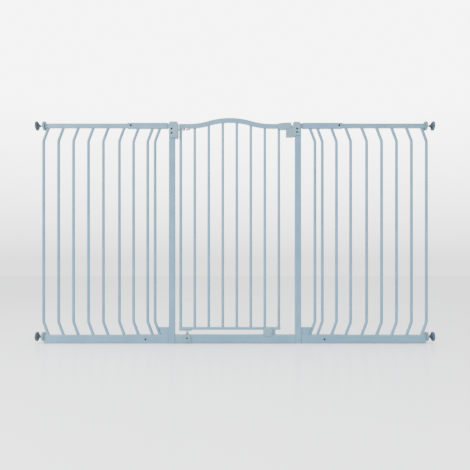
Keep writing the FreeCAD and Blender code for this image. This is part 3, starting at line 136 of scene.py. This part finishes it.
def plated(name, base, light, rough, line_mm, along):
    """Plated or oxidised steel: drawn lines along one axis and a clouded passivation 12 mm across."""
    material, tree, place = begin(name)
    cloud = add(tree, "ShaderNodeTexNoise", {"Scale": 1000 / 12, "Detail": 3}, {"Vector": place})
    tone = add(tree, "ShaderNodeMix", {"data_type": "RGBA", 6: paint(base), 7: paint(light)},
               {0: cloud.outputs["Fac"]})
    # lines drawn out twenty times longer than they are wide
    stretch = [1, 1, 1]
    stretch[along] = 0.05
    turned = add(tree, "ShaderNodeMapping", {"Scale": stretch}, {"Vector": place})
    lines = add(tree, "ShaderNodeTexNoise", {"Scale": 1000 / line_mm, "Detail": 2},
                {"Vector": turned.outputs[0]})
    gloss = add(tree, "ShaderNodeMapRange",
                {**NOISE_SPREAD, "To Min": rough - 0.06, "To Max": rough + 0.08},
                {"Value": lines.outputs["Fac"]})
    bump = add(tree, "ShaderNodeBump", {"Strength": 0.2, "Distance": 0.00008},
               {"Height": lines.outputs["Fac"]})
    shader = add(tree, "ShaderNodeBsdfPrincipled", {"Metallic": 1.0},
                 {"Base Color": tone.outputs[2], "Roughness": gloss.outputs["Result"],
                  "Normal": bump.outputs["Normal"]})
    finish(tree, shader)
    return material


# all welded steel: a pale blue-grey coat, satin rather than glossy
coat = powder_coat("powder_coated_steel", "#5f8398", "#5b7f94", "#65899d")
# moulded parts: a little greener than the coat and softly shiny, and the pads dark and nearly matt
bracket = moulded("moulded_nylon_brackets", "#62828d", "#6a8a94", 0.7, 0.46)
grip = moulded("moulded_polypropylene_nuts", "#587077", "#61797f", 0.8, 0.42, 1.49)
rubber = moulded("soft_rubber_pads", "#35454e", "#3d4d57", 0.5, 0.68, 1.52)
# metal without the coat; the last number is the axis that the drawn lines follow, X for rods and wire
# and Z for the screws' heads
zinc = plated("zinc_plated_steel", "#b9bcbb", "#c9cbc8", 0.32, 0.25, 0)
# the spindles' steel is darkened: partly painted shade, standing in for the shadow between pad and nut
painted_shade_rod = plated("painted_shade_spindle_steel", "#4a545a", "#59636a", 0.38, 0.3, 0)
# the screws are near-black: painted shade, standing in for the shadow in their recesses
dark_screw = plated("painted_shade_screws", "#2f383d", "#3b454a", 0.42, 0.3, 2)
spring_wire = plated("bright_spring_wire", "#a9a9a4", "#bcbcb6", 0.25, 0.2, 0)

FINISH = {
    bracket: ("hinge_bracket", "latch_receiver", "pivot_seat", "bottom_catch", "upper_pivot_insert",
              "lower_pivot_shoe", "bottom_rail_caps", "latch_housing",
              "left_top_plug", "left_base_plug", "right_top_plug", "right_base_plug"),
    zinc: ("hinge_arm", "lower_pivot_pin", "latch_bolt"),
    dark_screw: ("fixing_screws", "rail_lock_screws"),
}
finish_of = {name: material for material, names in FINISH.items() for name in names}
for name, item in nodes.items():
    item.data.materials.clear()
    item.data.materials.append(finish_of.get(name, coat))


# ---------------------------------------------------------------- pieces
def settle(name, bm, material, body, stands_for=(), smooth=38):
    """Turn a finished bmesh, in metres in the gate's frame, into a piece that rides on a body."""
    mesh = bpy.data.meshes.new(name)
    bm.to_mesh(mesh)
    bm.free()
    mesh.materials.append(material)
    mesh.shade_smooth()
    mesh.set_sharp_from_angle(angle=math.radians(smooth))
    item = bpy.data.objects.new(name, mesh)
    bpy.context.scene.collection.objects.link(item)
    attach(item, body)
    if stands_for:
        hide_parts(*stands_for)
    return item


def closed_outward(bm):
    bmesh.ops.recalc_face_normals(bm, faces=bm.faces)


def round_edges(bm, edges, width, segments):
    bmesh.ops.bevel(bm, geom=edges, offset=width, offset_type="OFFSET", affect="EDGES", segments=segments,
                    profile=0.5, material=-1, clamp_overlap=True)


def soften(bm, width, angle, segments):
    """Round every edge sharper than an angle."""
    round_edges(bm, [e for e in bm.edges if len(e.link_faces) == 2
                     and e.calc_face_angle(0) > math.radians(angle)], width, segments)


def turned(bm, outline, steps):
    """Spin an open outline of (along, radius) in millimetres about the X axis into a closed round."""
    verts = [bm.verts.new((along / 1000, 0, radius / 1000)) for along, radius in outline]
    edges = [bm.edges.new(pair) for pair in zip(verts, verts[1:])]
    bmesh.ops.spin(bm, geom=verts + edges, cent=(0, 0, 0), axis=(1, 0, 0), angle=2 * math.pi, steps=steps,
                   use_merge=True)
    bmesh.ops.remove_doubles(bm, verts=bm.verts, dist=1e-6)
    closed_outward(bm)


def box_piece(bm, size, middle):
    """A block of a size about a middle, in metres, as part of a larger piece."""
    made = bmesh.ops.create_cube(bm, size=1)
    bmesh.ops.scale(bm, vec=size, verts=made["verts"])
    bmesh.ops.translate(bm, vec=middle, verts=made["verts"])
    return made["verts"]


def close_holes(bm):
    bmesh.ops.holes_fill(bm, edges=[e for e in bm.edges if e.is_boundary], sides=0)


def out_to(bm, side, across, up):
    """Move a piece built along +X to its place on one side; the left one is turned half round."""
    if side == "left":
        bmesh.ops.rotate(bm, verts=bm.verts, cent=(0, 0, 0), matrix=Matrix.Rotation(math.pi, 3, "Z"))
        across = -across
    bmesh.ops.translate(bm, vec=(across, 0, up), verts=bm.verts)


def wall_pad(side, level):
    """Rubber pad: hub, waisted back with eight ribs, rolled rim, and a dished face with grip rings."""
    node = "%s_%s_wall_pad" % (side, level)
    low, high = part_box(node)
    face = max(abs(low[0]), abs(high[0]))
    depth = (high[0] - low[0]) * 1000
    rim = (high[2] - low[2]) * 500
    up = (low[2] + high[2]) / 2
    bm = bmesh.new()
    # (along, radius) in millimetres, from the back of the hub out to the rim and in over the face at 0
    back, dish = -depth, -2
    bore, ring_top = 4.02, -1.2
    hub = [(back, bore), (back, 5.9), (back + 0.6, 6.5), (back + 3.5, 6.7)]
    waist = [(back + 6.5, 7.8), (back + 8.6, 10.2), (back + 10.0, 13.6), (back + 11.0, 17.4)]
    shoulder = [(back + 11.8, rim - 1.4), (back + 12.6, rim - 0.35), (back + 13.6, rim)]
    groove = [(-2.6, rim), (-2.3, rim - 0.5), (-2.0, rim - 0.5), (-1.7, rim)]
    lip = [(-0.7, rim), (-0.15, rim - 0.4), (0, rim - 1.1), (0, rim - 3), (-0.5, rim - 3.6),
           (ring_top, rim - 4.4)]
    outline = hub + waist + shoulder + groove + lip
    for ring in (13.5, 9.5, 5.5):
        outline += [(dish, ring + 1.5), (ring_top, ring + 0.9), (ring_top, ring), (dish, ring - 0.6)]
    outline += [(dish, 2), (dish, 0)]
    turned(bm, outline, 64)
    close_holes(bm)
    ribs, rib_size, rib_middle = 8, (0.006, 0.0014, 0.010), (back / 1000 + 0.0085, 0, 0.0095)
    lean = Matrix.Rotation(math.radians(38), 3, "Y")
    for i in range(ribs):
        rib = box_piece(bm, rib_size, rib_middle)
        bmesh.ops.rotate(bm, verts=rib, cent=rib_middle, matrix=lean)
        turn = Matrix.Rotation(math.radians(360 / ribs * (i + 0.5)), 3, "X")
        bmesh.ops.rotate(bm, verts=rib, cent=(0, 0, 0), matrix=turn)
    out_to(bm, side, face, up)
    settle("%s_%s_rubber_pad" % (side, level), bm, rubber, "%s_%s_mount" % (side, level),
           (node,), 50)


def hand_nut(side, level):
    """Moulded hand nut: twelve finger scallops round the grip, a raised hub and a clear bore."""
    node = "%s_%s_hand_nut" % (side, level)
    low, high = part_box(node)
    inner = min(abs(low[0]), abs(high[0]))
    thick = high[0] - low[0]
    up = (low[2] + high[2]) / 2
    # radii from the outside in
    outside, grip_inner, moat, hub, bore = 0.0215, 0.0165, 0.0145, 0.009, 0.00405
    hub_rise, moat_sink, scallop_sink = 0.003, 0.0022, 0.0021
    # degrees from one scallop to the next, and half the width of one
    pitch, reach = 360 / 12, 9
    bm = bmesh.new()
    rings = []
    for radius in (outside, grip_inner, moat, hub, bore):
        made = bmesh.ops.create_circle(bm, cap_ends=False, radius=radius, segments=144)
        edges = list({e for v in made["verts"] for e in v.link_edges})
        if radius == outside:
            for v in made["verts"]:
                arc = (math.degrees(math.atan2(v.co.y, v.co.x)) + pitch / 2) % pitch - pitch / 2
                wave = math.cos(math.radians(arc * (90 / reach))) ** 2
                dip = scallop_sink * wave if abs(arc) < reach else 0
                v.co *= (radius - dip) / radius
        rings.append(edges)
    bands = [bmesh.ops.bridge_loops(bm, edges=a + b)["faces"] for a, b in zip(rings, rings[1:])]
    base = [f for band in bands for f in band]
    top = bmesh.ops.extrude_face_region(bm, geom=base, use_keep_orig=True)
    lifted = [v for v in top["geom"] if isinstance(v, bmesh.types.BMVert)]
    bmesh.ops.translate(bm, vec=(0, 0, thick - hub_rise), verts=lifted)
    for v in lifted:
        radius = v.co.to_2d().length
        # a shallow moat between grip and hub, and the hub itself
        if (hub + moat) / 2 < radius < (moat + grip_inner) / 2:
            v.co.z -= moat_sink
        elif radius < (hub + moat) / 2:
            v.co.z += hub_rise
    closed_outward(bm)
    # the bore's edges stay sharp, so that the thread runs close in it
    rim = [e for e in bm.edges if e.calc_face_angle(0) > math.radians(50)
           and min(v.co.to_2d().length for v in e.verts) > (bore + hub) / 2]
    round_edges(bm, rim, 0.0009, 3)
    bmesh.ops.rotate(bm, verts=bm.verts, cent=(0, 0, 0), matrix=Matrix.Rotation(math.radians(90), 3, "Y"))
    out_to(bm, side, inner, up)
    settle("%s_%s_grip_nut" % (side, level), bm, grip, "%s_%s_nut" % (side, level), (node,))


def rolled_thread(length):
    """A rod with a rolled 2 mm pitch thread along +X, both ends cut square. Lengths in millimetres."""
    pitch, steps = 2.0, 24
    root, flank_top, crest = 3.25, 3.92, 3.96
    tooth = ((0.0, root), (0.25, root), (0.8, flank_top), (0.95, crest), (1.25, crest), (1.4, flank_top),
             (1.95, root), (pitch, root))
    bm = bmesh.new()
    verts = [bm.verts.new(((along - 2 * pitch) / 1000, 0, radius / 1000)) for along, radius in tooth]
    edges = [bm.edges.new(pair) for pair in zip(verts, verts[1:])]
    bmesh.ops.spin(bm, geom=verts + edges, cent=(0, 0, 0), axis=(1, 0, 0), angle=2 * math.pi,
                   dvec=(pitch / 1000 / steps, 0, 0), steps=steps, use_merge=False)
    # doubled until it is longer than the rod by two turns at each end, then cut to length
    turns = 1
    while turns * pitch < length + 4 * pitch:
        made = bmesh.ops.duplicate(bm, geom=list(bm.verts) + list(bm.edges) + list(bm.faces))
        copies = [v for v in made["geom"] if isinstance(v, bmesh.types.BMVert)]
        bmesh.ops.translate(bm, vec=(turns * pitch / 1000, 0, 0), verts=copies)
        turns *= 2
    bmesh.ops.remove_doubles(bm, verts=bm.verts, dist=2e-6)
    for along, facing in ((0, -1), (length / 1000, 1)):
        cut = bmesh.ops.bisect_plane(bm, geom=list(bm.verts) + list(bm.edges) + list(bm.faces), dist=1e-7,
                                     plane_co=(along, 0, 0), plane_no=(facing, 0, 0), clear_outer=True)
        rim = [e for e in cut["geom_cut"] if isinstance(e, bmesh.types.BMEdge)]
        bmesh.ops.edgenet_fill(bm, edges=rim)
    closed_outward(bm)
    return bm


def threaded_spindle(side, level):
    """Spindle from the wing's plug to the hub of its pad."""
    node = "%s_%s_spindle" % (side, level)
    low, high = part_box(node)
    bm = rolled_thread((high[0] - low[0]) * 1000)
    out_to(bm, side, min(abs(low[0]), abs(high[0])), (low[2] + high[2]) / 2)
    settle("%s_%s_threaded_rod" % (side, level), bm, painted_shade_rod, "%s_%s_mount" % (side, level),
           (node,), 60)


# ---------------------------------------------------------------- welds
lumps = random.Random(7)
# the leg of each kind of bead, in millimetres
BAR_BEAD, LEAF_BEAD, CORNER_BEAD, GUSSET_BEAD, STUB_BEAD = 2.2, 2.0, 1.8, 1.6, 1.5


def bead_ring(bm, radius, leg, centre, lean=0.0, tilt=0.0, facing=1):
    """Fillet bead round a bar where it meets a rail, in millimetres. lean is the bar's angle from
    square to the rail, tilt is the rail's own slope, and facing is +1 on top of a rail."""
    before = set(bm.verts)
    # a hollow fillet from the bar out to the rail, rooted in both
    inside, floor = radius - 0.3, -0.2
    profile = ((inside, leg), (radius + 0.15, leg * 0.96), (radius + leg * 0.42, leg * 0.62),
               (radius + leg * 0.78, leg * 0.26), (radius + leg, 0.02), (radius + leg, floor),
               (inside, floor))
    verts = [bm.verts.new((out / 1000, 0, up / 1000)) for out, up in profile]
    edges = [bm.edges.new(pair) for pair in zip(verts, verts[1:] + verts[:1])]
    bmesh.ops.spin(bm, geom=verts + edges, cent=(0, 0, 0), axis=(0, 0, 1), angle=2 * math.pi, steps=28,
                   use_merge=True)
    fresh = [v for v in bm.verts if v not in before]
    bmesh.ops.remove_doubles(bm, verts=fresh, dist=1e-7)
    fresh = [v for v in bm.verts if v not in before]
    # laid by hand, so its size swells and falls on the way round
    start = lumps.random() * 6
    for v in fresh:
        turn = math.atan2(v.co.y, v.co.x)
        swell = 1 + 0.09 * math.sin(turn * 9 + start) + 0.07 * math.sin(turn * 4 + 2 * start)
        out = v.co.to_2d()
        extra = max(out.length - radius / 1000, 0) * (swell - 1)
        if out.length > radius / 1000:
            out *= 1 + extra / out.length
        v.co.x, v.co.y = out
        if v.co.z > 0:
            v.co.z *= swell
        v.co.x = v.co.x / math.cos(lean) + v.co.z * math.tan(lean)
        v.co.z *= facing
    if tilt:
        bmesh.ops.rotate(bm, verts=fresh, cent=(0, 0, 0), matrix=Matrix.Rotation(-tilt, 3, "Y"))
    bmesh.ops.translate(bm, vec=[c / 1000 for c in centre], verts=fresh)


def bead_line(bm, start, stop, first, second, leg):
    """Straight fillet bead along a seam from start to stop; first and second point along the two
    surfaces, away from the corner. Millimetres."""
    before = set(bm.verts)
    start, stop, first, second = (Vector(v) for v in (start, stop, first, second))
    length = (stop - start).length
    along = (stop - start).normalized()
    # the root's depth as a share of the leg, and the lengths of a step and a ripple in millimetres
    root, step, ripple = -0.15, 0.9, 2.6
    profile = ((0, 1), (0.3, 0.66), (0.66, 0.3), (1, 0), (1, root), (root, root), (root, 1))
    verts = [bm.verts.new((start + first * leg * a + second * leg * b) / 1000) for a, b in profile]
    edges = [bm.edges.new(pair) for pair in zip(verts, verts[1:] + verts[:1])]
    steps = max(4, int(length / step))
    bmesh.ops.spin(bm, geom=verts + edges, cent=(0, 0, 0), axis=(0, 0, 1), angle=0,
                   dvec=along * (length / steps / 1000), steps=steps, use_merge=False)
    fresh = [v for v in bm.verts if v not in before]
    ends = {e for v in fresh for e in v.link_edges if e.is_boundary}
    bmesh.ops.holes_fill(bm, edges=list(ends), sides=0)
    phase = lumps.random() * 6
    for v in fresh:
        off = v.co - start / 1000
        run = off.dot(along)
        side = off - along * run
        # both ends taper over their last 1.65 mm
        end = min(run, length / 1000 - run) * 1000
        wave = 1 + 0.1 * math.sin(run * 1000 / ripple * 2 * math.pi + phase)
        swell = wave * min(1, 0.45 + end / 3)
        v.co = start / 1000 + along * run + side * swell


def top_of(name):
    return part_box(name)[1][2] * 1000


def under(name):
    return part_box(name)[0][2] * 1000


# The bent bars, in millimetres: the lean of their bent ends, their radius, and how much nearer the post
# a bar's ends stand than its straight part. A bar's place is that of its straight part, from the post's
# outer face.
BAR_LEAN = math.radians(20.75)
BENT_BAR = 7.0
STEP_IN = 22.5
BAR_PITCH = 65.5
FIXED_BARS = (64.9, 99.0, 99.0 + BAR_PITCH)
# the wing's first bar, the wider space after it, the even spaces further out, and the number of bars
WING_BAR, WING_STEP, WING_PITCH, WING_BARS = 99.0 + 2 * BAR_PITCH, 74.0, 69.1, 6
# half the thickness, front to back, of what is welded to a post
HALF_RAIL, HALF_GUSSET, HALF_STUB = 12.5, 8, 10.5
# how far in from the gusset's outer end, which is at its top, its slope meets the rail
GUSSET_TOE = 13.3
# the level rail from an end bar of the leaf to the start of the arch, the arch's rise, and the rail's side
ARCH_FLAT, ARCH_RISE, LEAF_RAIL = 34.8, 27.5, 20


def side_beads(bm, x, half, low, high, sign, leg):
    """A bead up the front face and one up the back face of what stands out of an upright face at x."""
    for facing in (-1, 1):
        bead_line(bm, (x, facing * half, low), (x, facing * half, high), (sign, 0, 0), (0, facing, 0), leg)


def cross_bead(bm, x, half, up, sign, facing, leg):
    """A bead front to back, above (facing 1) or below (-1) what stands out of an upright face at x."""
    bead_line(bm, (x, -half, up), (x, half, up), (sign, 0, 0), (0, 0, facing), leg)


def side_panel_welds(side):
    """Beads on one side: the fixed frame's bars, post joints and gusset, and the wing's bars."""
    sign = 1 if side == "right" else -1
    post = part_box("latch_post" if side == "right" else "hinge_post")
    outer = max(abs(post[0][0]), abs(post[1][0])) * 1000
    lean = BAR_LEAN * sign

    bm = bmesh.new()
    base_top = top_of(side + "_base_rail")
    sleeve_low = under(side + "_top_sleeve")
    for inset in FIXED_BARS:
        foot = sign * (outer + inset - STEP_IN)
        bead_ring(bm, BENT_BAR, BAR_BEAD, (foot, 0, base_top), lean=lean, facing=1)
        bead_ring(bm, BENT_BAR, BAR_BEAD, (foot, 0, sleeve_low), lean=lean, facing=-1)
    face = sign * outer
    side_beads(bm, face, HALF_RAIL, 3, base_top - 2, sign, CORNER_BEAD)
    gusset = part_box(side + "_foot_gusset")
    gusset_top = gusset[1][2] * 1000
    cross_bead(bm, face, HALF_GUSSET - 1, gusset_top, sign, 1, CORNER_BEAD)
    toe = max(abs(gusset[0][0]), abs(gusset[1][0])) * 1000 - GUSSET_TOE
    for facing in (-1, 1):
        y, out = facing * HALF_GUSSET, (0, facing, 0)
        bead_line(bm, (face, y, base_top + 1), (face, y, gusset_top - 1), (sign, 0, 0), out, GUSSET_BEAD)
        bead_line(bm, (sign * (outer + 2), y, base_top), (sign * (toe - 1), y, base_top), out, (0, 0, 1),
                  GUSSET_BEAD)
    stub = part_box(side + "_top_stub")
    low, high = stub[0][2] * 1000, stub[1][2] * 1000
    side_beads(bm, face, HALF_STUB, low + 1, high - 1, sign, STUB_BEAD)
    cross_bead(bm, face, HALF_STUB - 1.5, low, sign, -1, STUB_BEAD)
    cross_bead(bm, face, HALF_STUB - 1.5, high, sign, 1, STUB_BEAD)
    closed_outward(bm)
    settle(side + "_frame_welds", bm, coat, "frame", smooth=60)

    bm = bmesh.new()
    rail_top = top_of(side + "_wing_base_rail")
    rail_low = under(side + "_wing_top_rail")
    for i in range(WING_BARS):
        inset = WING_BAR if i == 0 else WING_BAR + WING_STEP + WING_PITCH * (i - 1)
        foot = sign * (outer + inset - STEP_IN)
        bead_ring(bm, BENT_BAR, BAR_BEAD, (foot, 0, rail_top), lean=lean, facing=1)
        bead_ring(bm, BENT_BAR, BAR_BEAD, (foot, 0, rail_low), lean=lean, facing=-1)
    closed_outward(bm)
    settle(side + "_wing_welds", bm, coat, side + "_wing", smooth=60)


def threshold_welds():
    """Beads where the threshold meets the two posts."""
    bm = bmesh.new()
    low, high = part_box("threshold_rail")
    face, top, floor = high[0] * 1000, high[2] * 1000, low[2] * 1000
    for sign in (-1, 1):
        side_beads(bm, sign * face, HALF_RAIL, floor + 1, top - 1, -sign, CORNER_BEAD)
        cross_bead(bm, sign * face, HALF_RAIL - 1.5, top, -sign, 1, CORNER_BEAD)
    closed_outward(bm)
    settle("threshold_welds", bm, coat, "frame", smooth=60)


def leaf_welds():
    """Beads round the leaf's upright bars, at the bottom rail and under the arched top rail."""
    bm = bmesh.new()
    rail_top = top_of("gate_bottom_rail")
    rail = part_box("gate_top_rail")
    level = rail[0][2] * 1000
    crest = rail[1][2] * 1000 - LEAF_RAIL
    names = ["hinge_stile"] + ["gate_bar_%d" % i for i in range(1, 7)] + ["closing_stile"]
    boxes = [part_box(name) for name in names]
    places = [(low[0] + high[0]) * 500 for low, high in boxes]
    # the arch is of one radius: an arc out of the level, one twice as long over the crest, and one back
    middle = (places[0] + places[-1]) / 2
    span = (places[-1] - places[0]) / 2 - ARCH_FLAT
    radius = span / (2 * math.sin(2 * math.atan(ARCH_RISE / span)))
    foot_radius, crest_radius = radius + LEAF_RAIL / 2, radius - LEAF_RAIL / 2
    for x, (low, high) in zip(places, boxes):
        bar = (high[0] - low[0]) * 500
        away = abs(x - middle)
        if away >= span:
            under_rail, slope = level, 0.0
        elif away > span / 2:
            off = span - away
            under_rail = level + foot_radius - math.sqrt(foot_radius ** 2 - off ** 2)
            slope = math.asin(off / foot_radius)
        else:
            under_rail = crest - crest_radius + math.sqrt(crest_radius ** 2 - away ** 2)
            slope = math.asin(away / crest_radius)
        slope *= 1 if x < middle else -1
        bead_ring(bm, bar, LEAF_BEAD, (x, 0, rail_top), facing=1)
        bead_ring(bm, bar, LEAF_BEAD, (x, 0, under_rail), lean=slope, tilt=slope, facing=-1)
    closed_outward(bm)
    settle("leaf_welds", bm, coat, "leaf", smooth=60)


# ---------------------------------------------------------------- latch
def ridged_slide():
    """Thumb slide: a rounded button with a shallow finger dip and five grip ridges."""
    low, high = (Vector(c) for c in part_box("thumb_slide"))
    size = high - low
    middle = (low + high) / 2
    cap, dip, end_fall = 0.0047, 0.0011, 0.0006
    ridge_count, ridge_pitch, ridge_width, ridge_height, bury = 5, 0.0026, 0.0011, 0.0016, 0.0007
    bm = bmesh.new()
    box_piece(bm, (size.x, size.y, cap), (middle.x, middle.y, high.z - cap / 2))
    bmesh.ops.subdivide_edges(bm, edges=bm.edges, cuts=7, use_grid_fill=True)
    for v in bm.verts:
        if v.co.z > high.z - 1e-5:
            across = (v.co.x - middle.x) / (size.x / 2)
            deep = (v.co.y - middle.y) / (size.y / 2)
            v.co.z -= dip * max(0, 1 - across ** 2) * max(0, 1 - deep ** 2) + end_fall * across ** 4
    soften(bm, 0.0009, 60, 3)
    ridges = bmesh.new()
    for i in range(ridge_count):
        off = (i - (ridge_count - 1) / 2) * ridge_pitch
        floor = high.z - dip * (1 - (off / (size.x / 2)) ** 2)
        box_piece(ridges, (ridge_width, size.y * 0.62, ridge_height),
                  (middle.x + off, middle.y, floor + ridge_height / 2 - bury))
    soften(ridges, 0.0004, 60, 2)
    whole = bpy.data.meshes.new("slide_ridges")
    ridges.to_mesh(whole)
    ridges.free()
    bm.from_mesh(whole)
    bpy.data.meshes.remove(whole)
    # the stem down to the bolt runs a little way up into the cap
    box_piece(bm, (0.008, 0.004, size.z - cap + 0.0004), (middle.x, middle.y, (low.z + high.z - cap) / 2))
    closed_outward(bm)
    settle("ridged_thumb_slide", bm, bracket, "latch", ("thumb_slide",))


def wound_spring():
    """Bolt spring of round wire."""
    low, high = (Vector(c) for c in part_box("latch_spring"))
    # wire thickness, turns, steps in a turn, and how far the bolt is drawn
    wire, turns, steps, draw = 0.0008, 5, 24, 0.008
    middle, length = (low + high) / 2, high.x - low.x
    bm = bmesh.new()
    section = bmesh.ops.create_circle(bm, cap_ends=False, radius=wire / 2, segments=10)["verts"]
    bmesh.ops.rotate(bm, verts=section, cent=(0, 0, 0), matrix=Matrix.Rotation(math.pi / 2, 3, "X"))
    bmesh.ops.translate(bm, vec=(low.x + wire / 2, middle.y, high.z - wire / 2), verts=section)
    bmesh.ops.spin(bm, geom=list(bm.verts) + list(bm.edges), cent=middle, axis=(1, 0, 0),
                   angle=2 * math.pi * turns, dvec=((length - wire) / turns / steps, 0, 0),
                   steps=turns * steps, use_merge=False)
    close_holes(bm)
    closed_outward(bm)
    spring = settle("wound_latch_spring", bm, spring_wire, "latch", ("latch_spring",))
    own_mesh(spring)


for panel in ("left", "right"):
    side_panel_welds(panel)
    for end in ("top", "base"):
        wall_pad(panel, end)
        hand_nut(panel, end)
        threaded_spindle(panel, end)
threshold_welds()
leaf_welds()
ridged_slide()
wound_spring()


# ---------------------------------------------------------------- studio
# the room's light from below and from above, and the backdrop's brightness at its foot and at its top
ROOM, ROOF = 0.3, 3.5
PAPER_FOOT, PAPER_TOP = 2.2, 7.0
# name, place in metres, watts, side in metres
LAMPS = (
    ("key_lamp", (-2.9, -1.7, 2.0), 125, 0.9),
    ("fill_lamp", (2.6, -2.0, 1.6), 4, 2.0),
)
GATE_MIDDLE = Vector((0, 0, 0.5))
# the camera stands level, this far in front of the posts' front face and this far above the floor
EYE_AWAY, POST_FRONT, EYE_UP = 2.1, 0.014, 0.385


def studio_floor():
    """White floor under the gate, with a faint sheen that mirrors its foot."""
    material, tree, place = begin("white_studio_floor")
    scuff = add(tree, "ShaderNodeTexNoise", {"Scale": 3.0, "Detail": 4}, {"Vector": place})
    gloss = add(tree, "ShaderNodeMapRange", {"To Min": 0.16, "To Max": 0.24},
                {"Value": scuff.outputs["Fac"]})
    shader = add(tree, "ShaderNodeBsdfPrincipled", {"Base Color": paint("#fcfcfc"), "IOR": 1.45},
                 {"Roughness": gloss.outputs["Result"]})
    finish(tree, shader)
    bm = bmesh.new()
    bmesh.ops.create_grid(bm, x_segments=1, y_segments=1, size=9)
    mesh = bpy.data.meshes.new("studio_floor")
    bm.to_mesh(mesh)
    bm.free()
    mesh.materials.append(material)
    item = bpy.data.objects.new("studio_floor", mesh)
    bpy.context.scene.collection.objects.link(item)


def studio_light():
    """A white room lit mostly from above, and two soft lamps."""
    world = bpy.data.worlds.new("studio_air")
    bpy.context.scene.world = world
    world.use_nodes = True
    air = world.node_tree
    air.nodes.clear()
    toward = add(air, "ShaderNodeTexCoord").outputs["Generated"]
    height = add(air, "ShaderNodeSeparateXYZ", links={"Vector": toward}).outputs["Z"]
    # the paper behind the gate is seen but doesn't spill on it, and meets the floor at the same brightness
    roof = add(air, "ShaderNodeMapRange",
               {"From Min": -0.2, "From Max": 0.9, "To Min": ROOM, "To Max": ROOF}, {"Value": height})
    glow = add(air, "ShaderNodeBackground", {"Color": paint("#fbfcff")},
               {"Strength": roof.outputs["Result"]})
    rise = add(air, "ShaderNodeMapRange",
               {"From Min": 0.0, "From Max": 0.3, "To Min": PAPER_FOOT, "To Max": PAPER_TOP},
               {"Value": height})
    paper = add(air, "ShaderNodeBackground", {"Color": paint("#ffffff")},
                {"Strength": rise.outputs["Result"]})
    seen = add(air, "ShaderNodeLightPath").outputs["Is Camera Ray"]
    both = add(air, "ShaderNodeMixShader", links={0: seen, 1: glow.outputs[0], 2: paper.outputs[0]})
    add(air, "ShaderNodeOutputWorld", links={"Surface": both.outputs[0]})
    for name, place, power, size in LAMPS:
        data = bpy.data.lights.new(name, "AREA")
        data.energy = power
        data.size = size
        lamp = bpy.data.objects.new(name, data)
        lamp.location = place
        lamp.rotation_euler = (GATE_MIDDLE - Vector(place)).to_track_quat("-Z", "Y").to_euler()
        bpy.context.scene.collection.objects.link(lamp)


studio_floor()
studio_light()
view = bpy.data.cameras.new("front_view")
view.lens = 35
view.sensor_width = 36
# shifted rather than tilted, so that the upright bars stay parallel
view.shift_y = 0.053
camera = bpy.data.objects.new("front_view", view)
camera.location = (0, -EYE_AWAY - POST_FRONT, EYE_UP)
camera.rotation_euler = (math.radians(90), 0, 0)
bpy.context.scene.collection.objects.link(camera)
bpy.context.scene.camera = camera
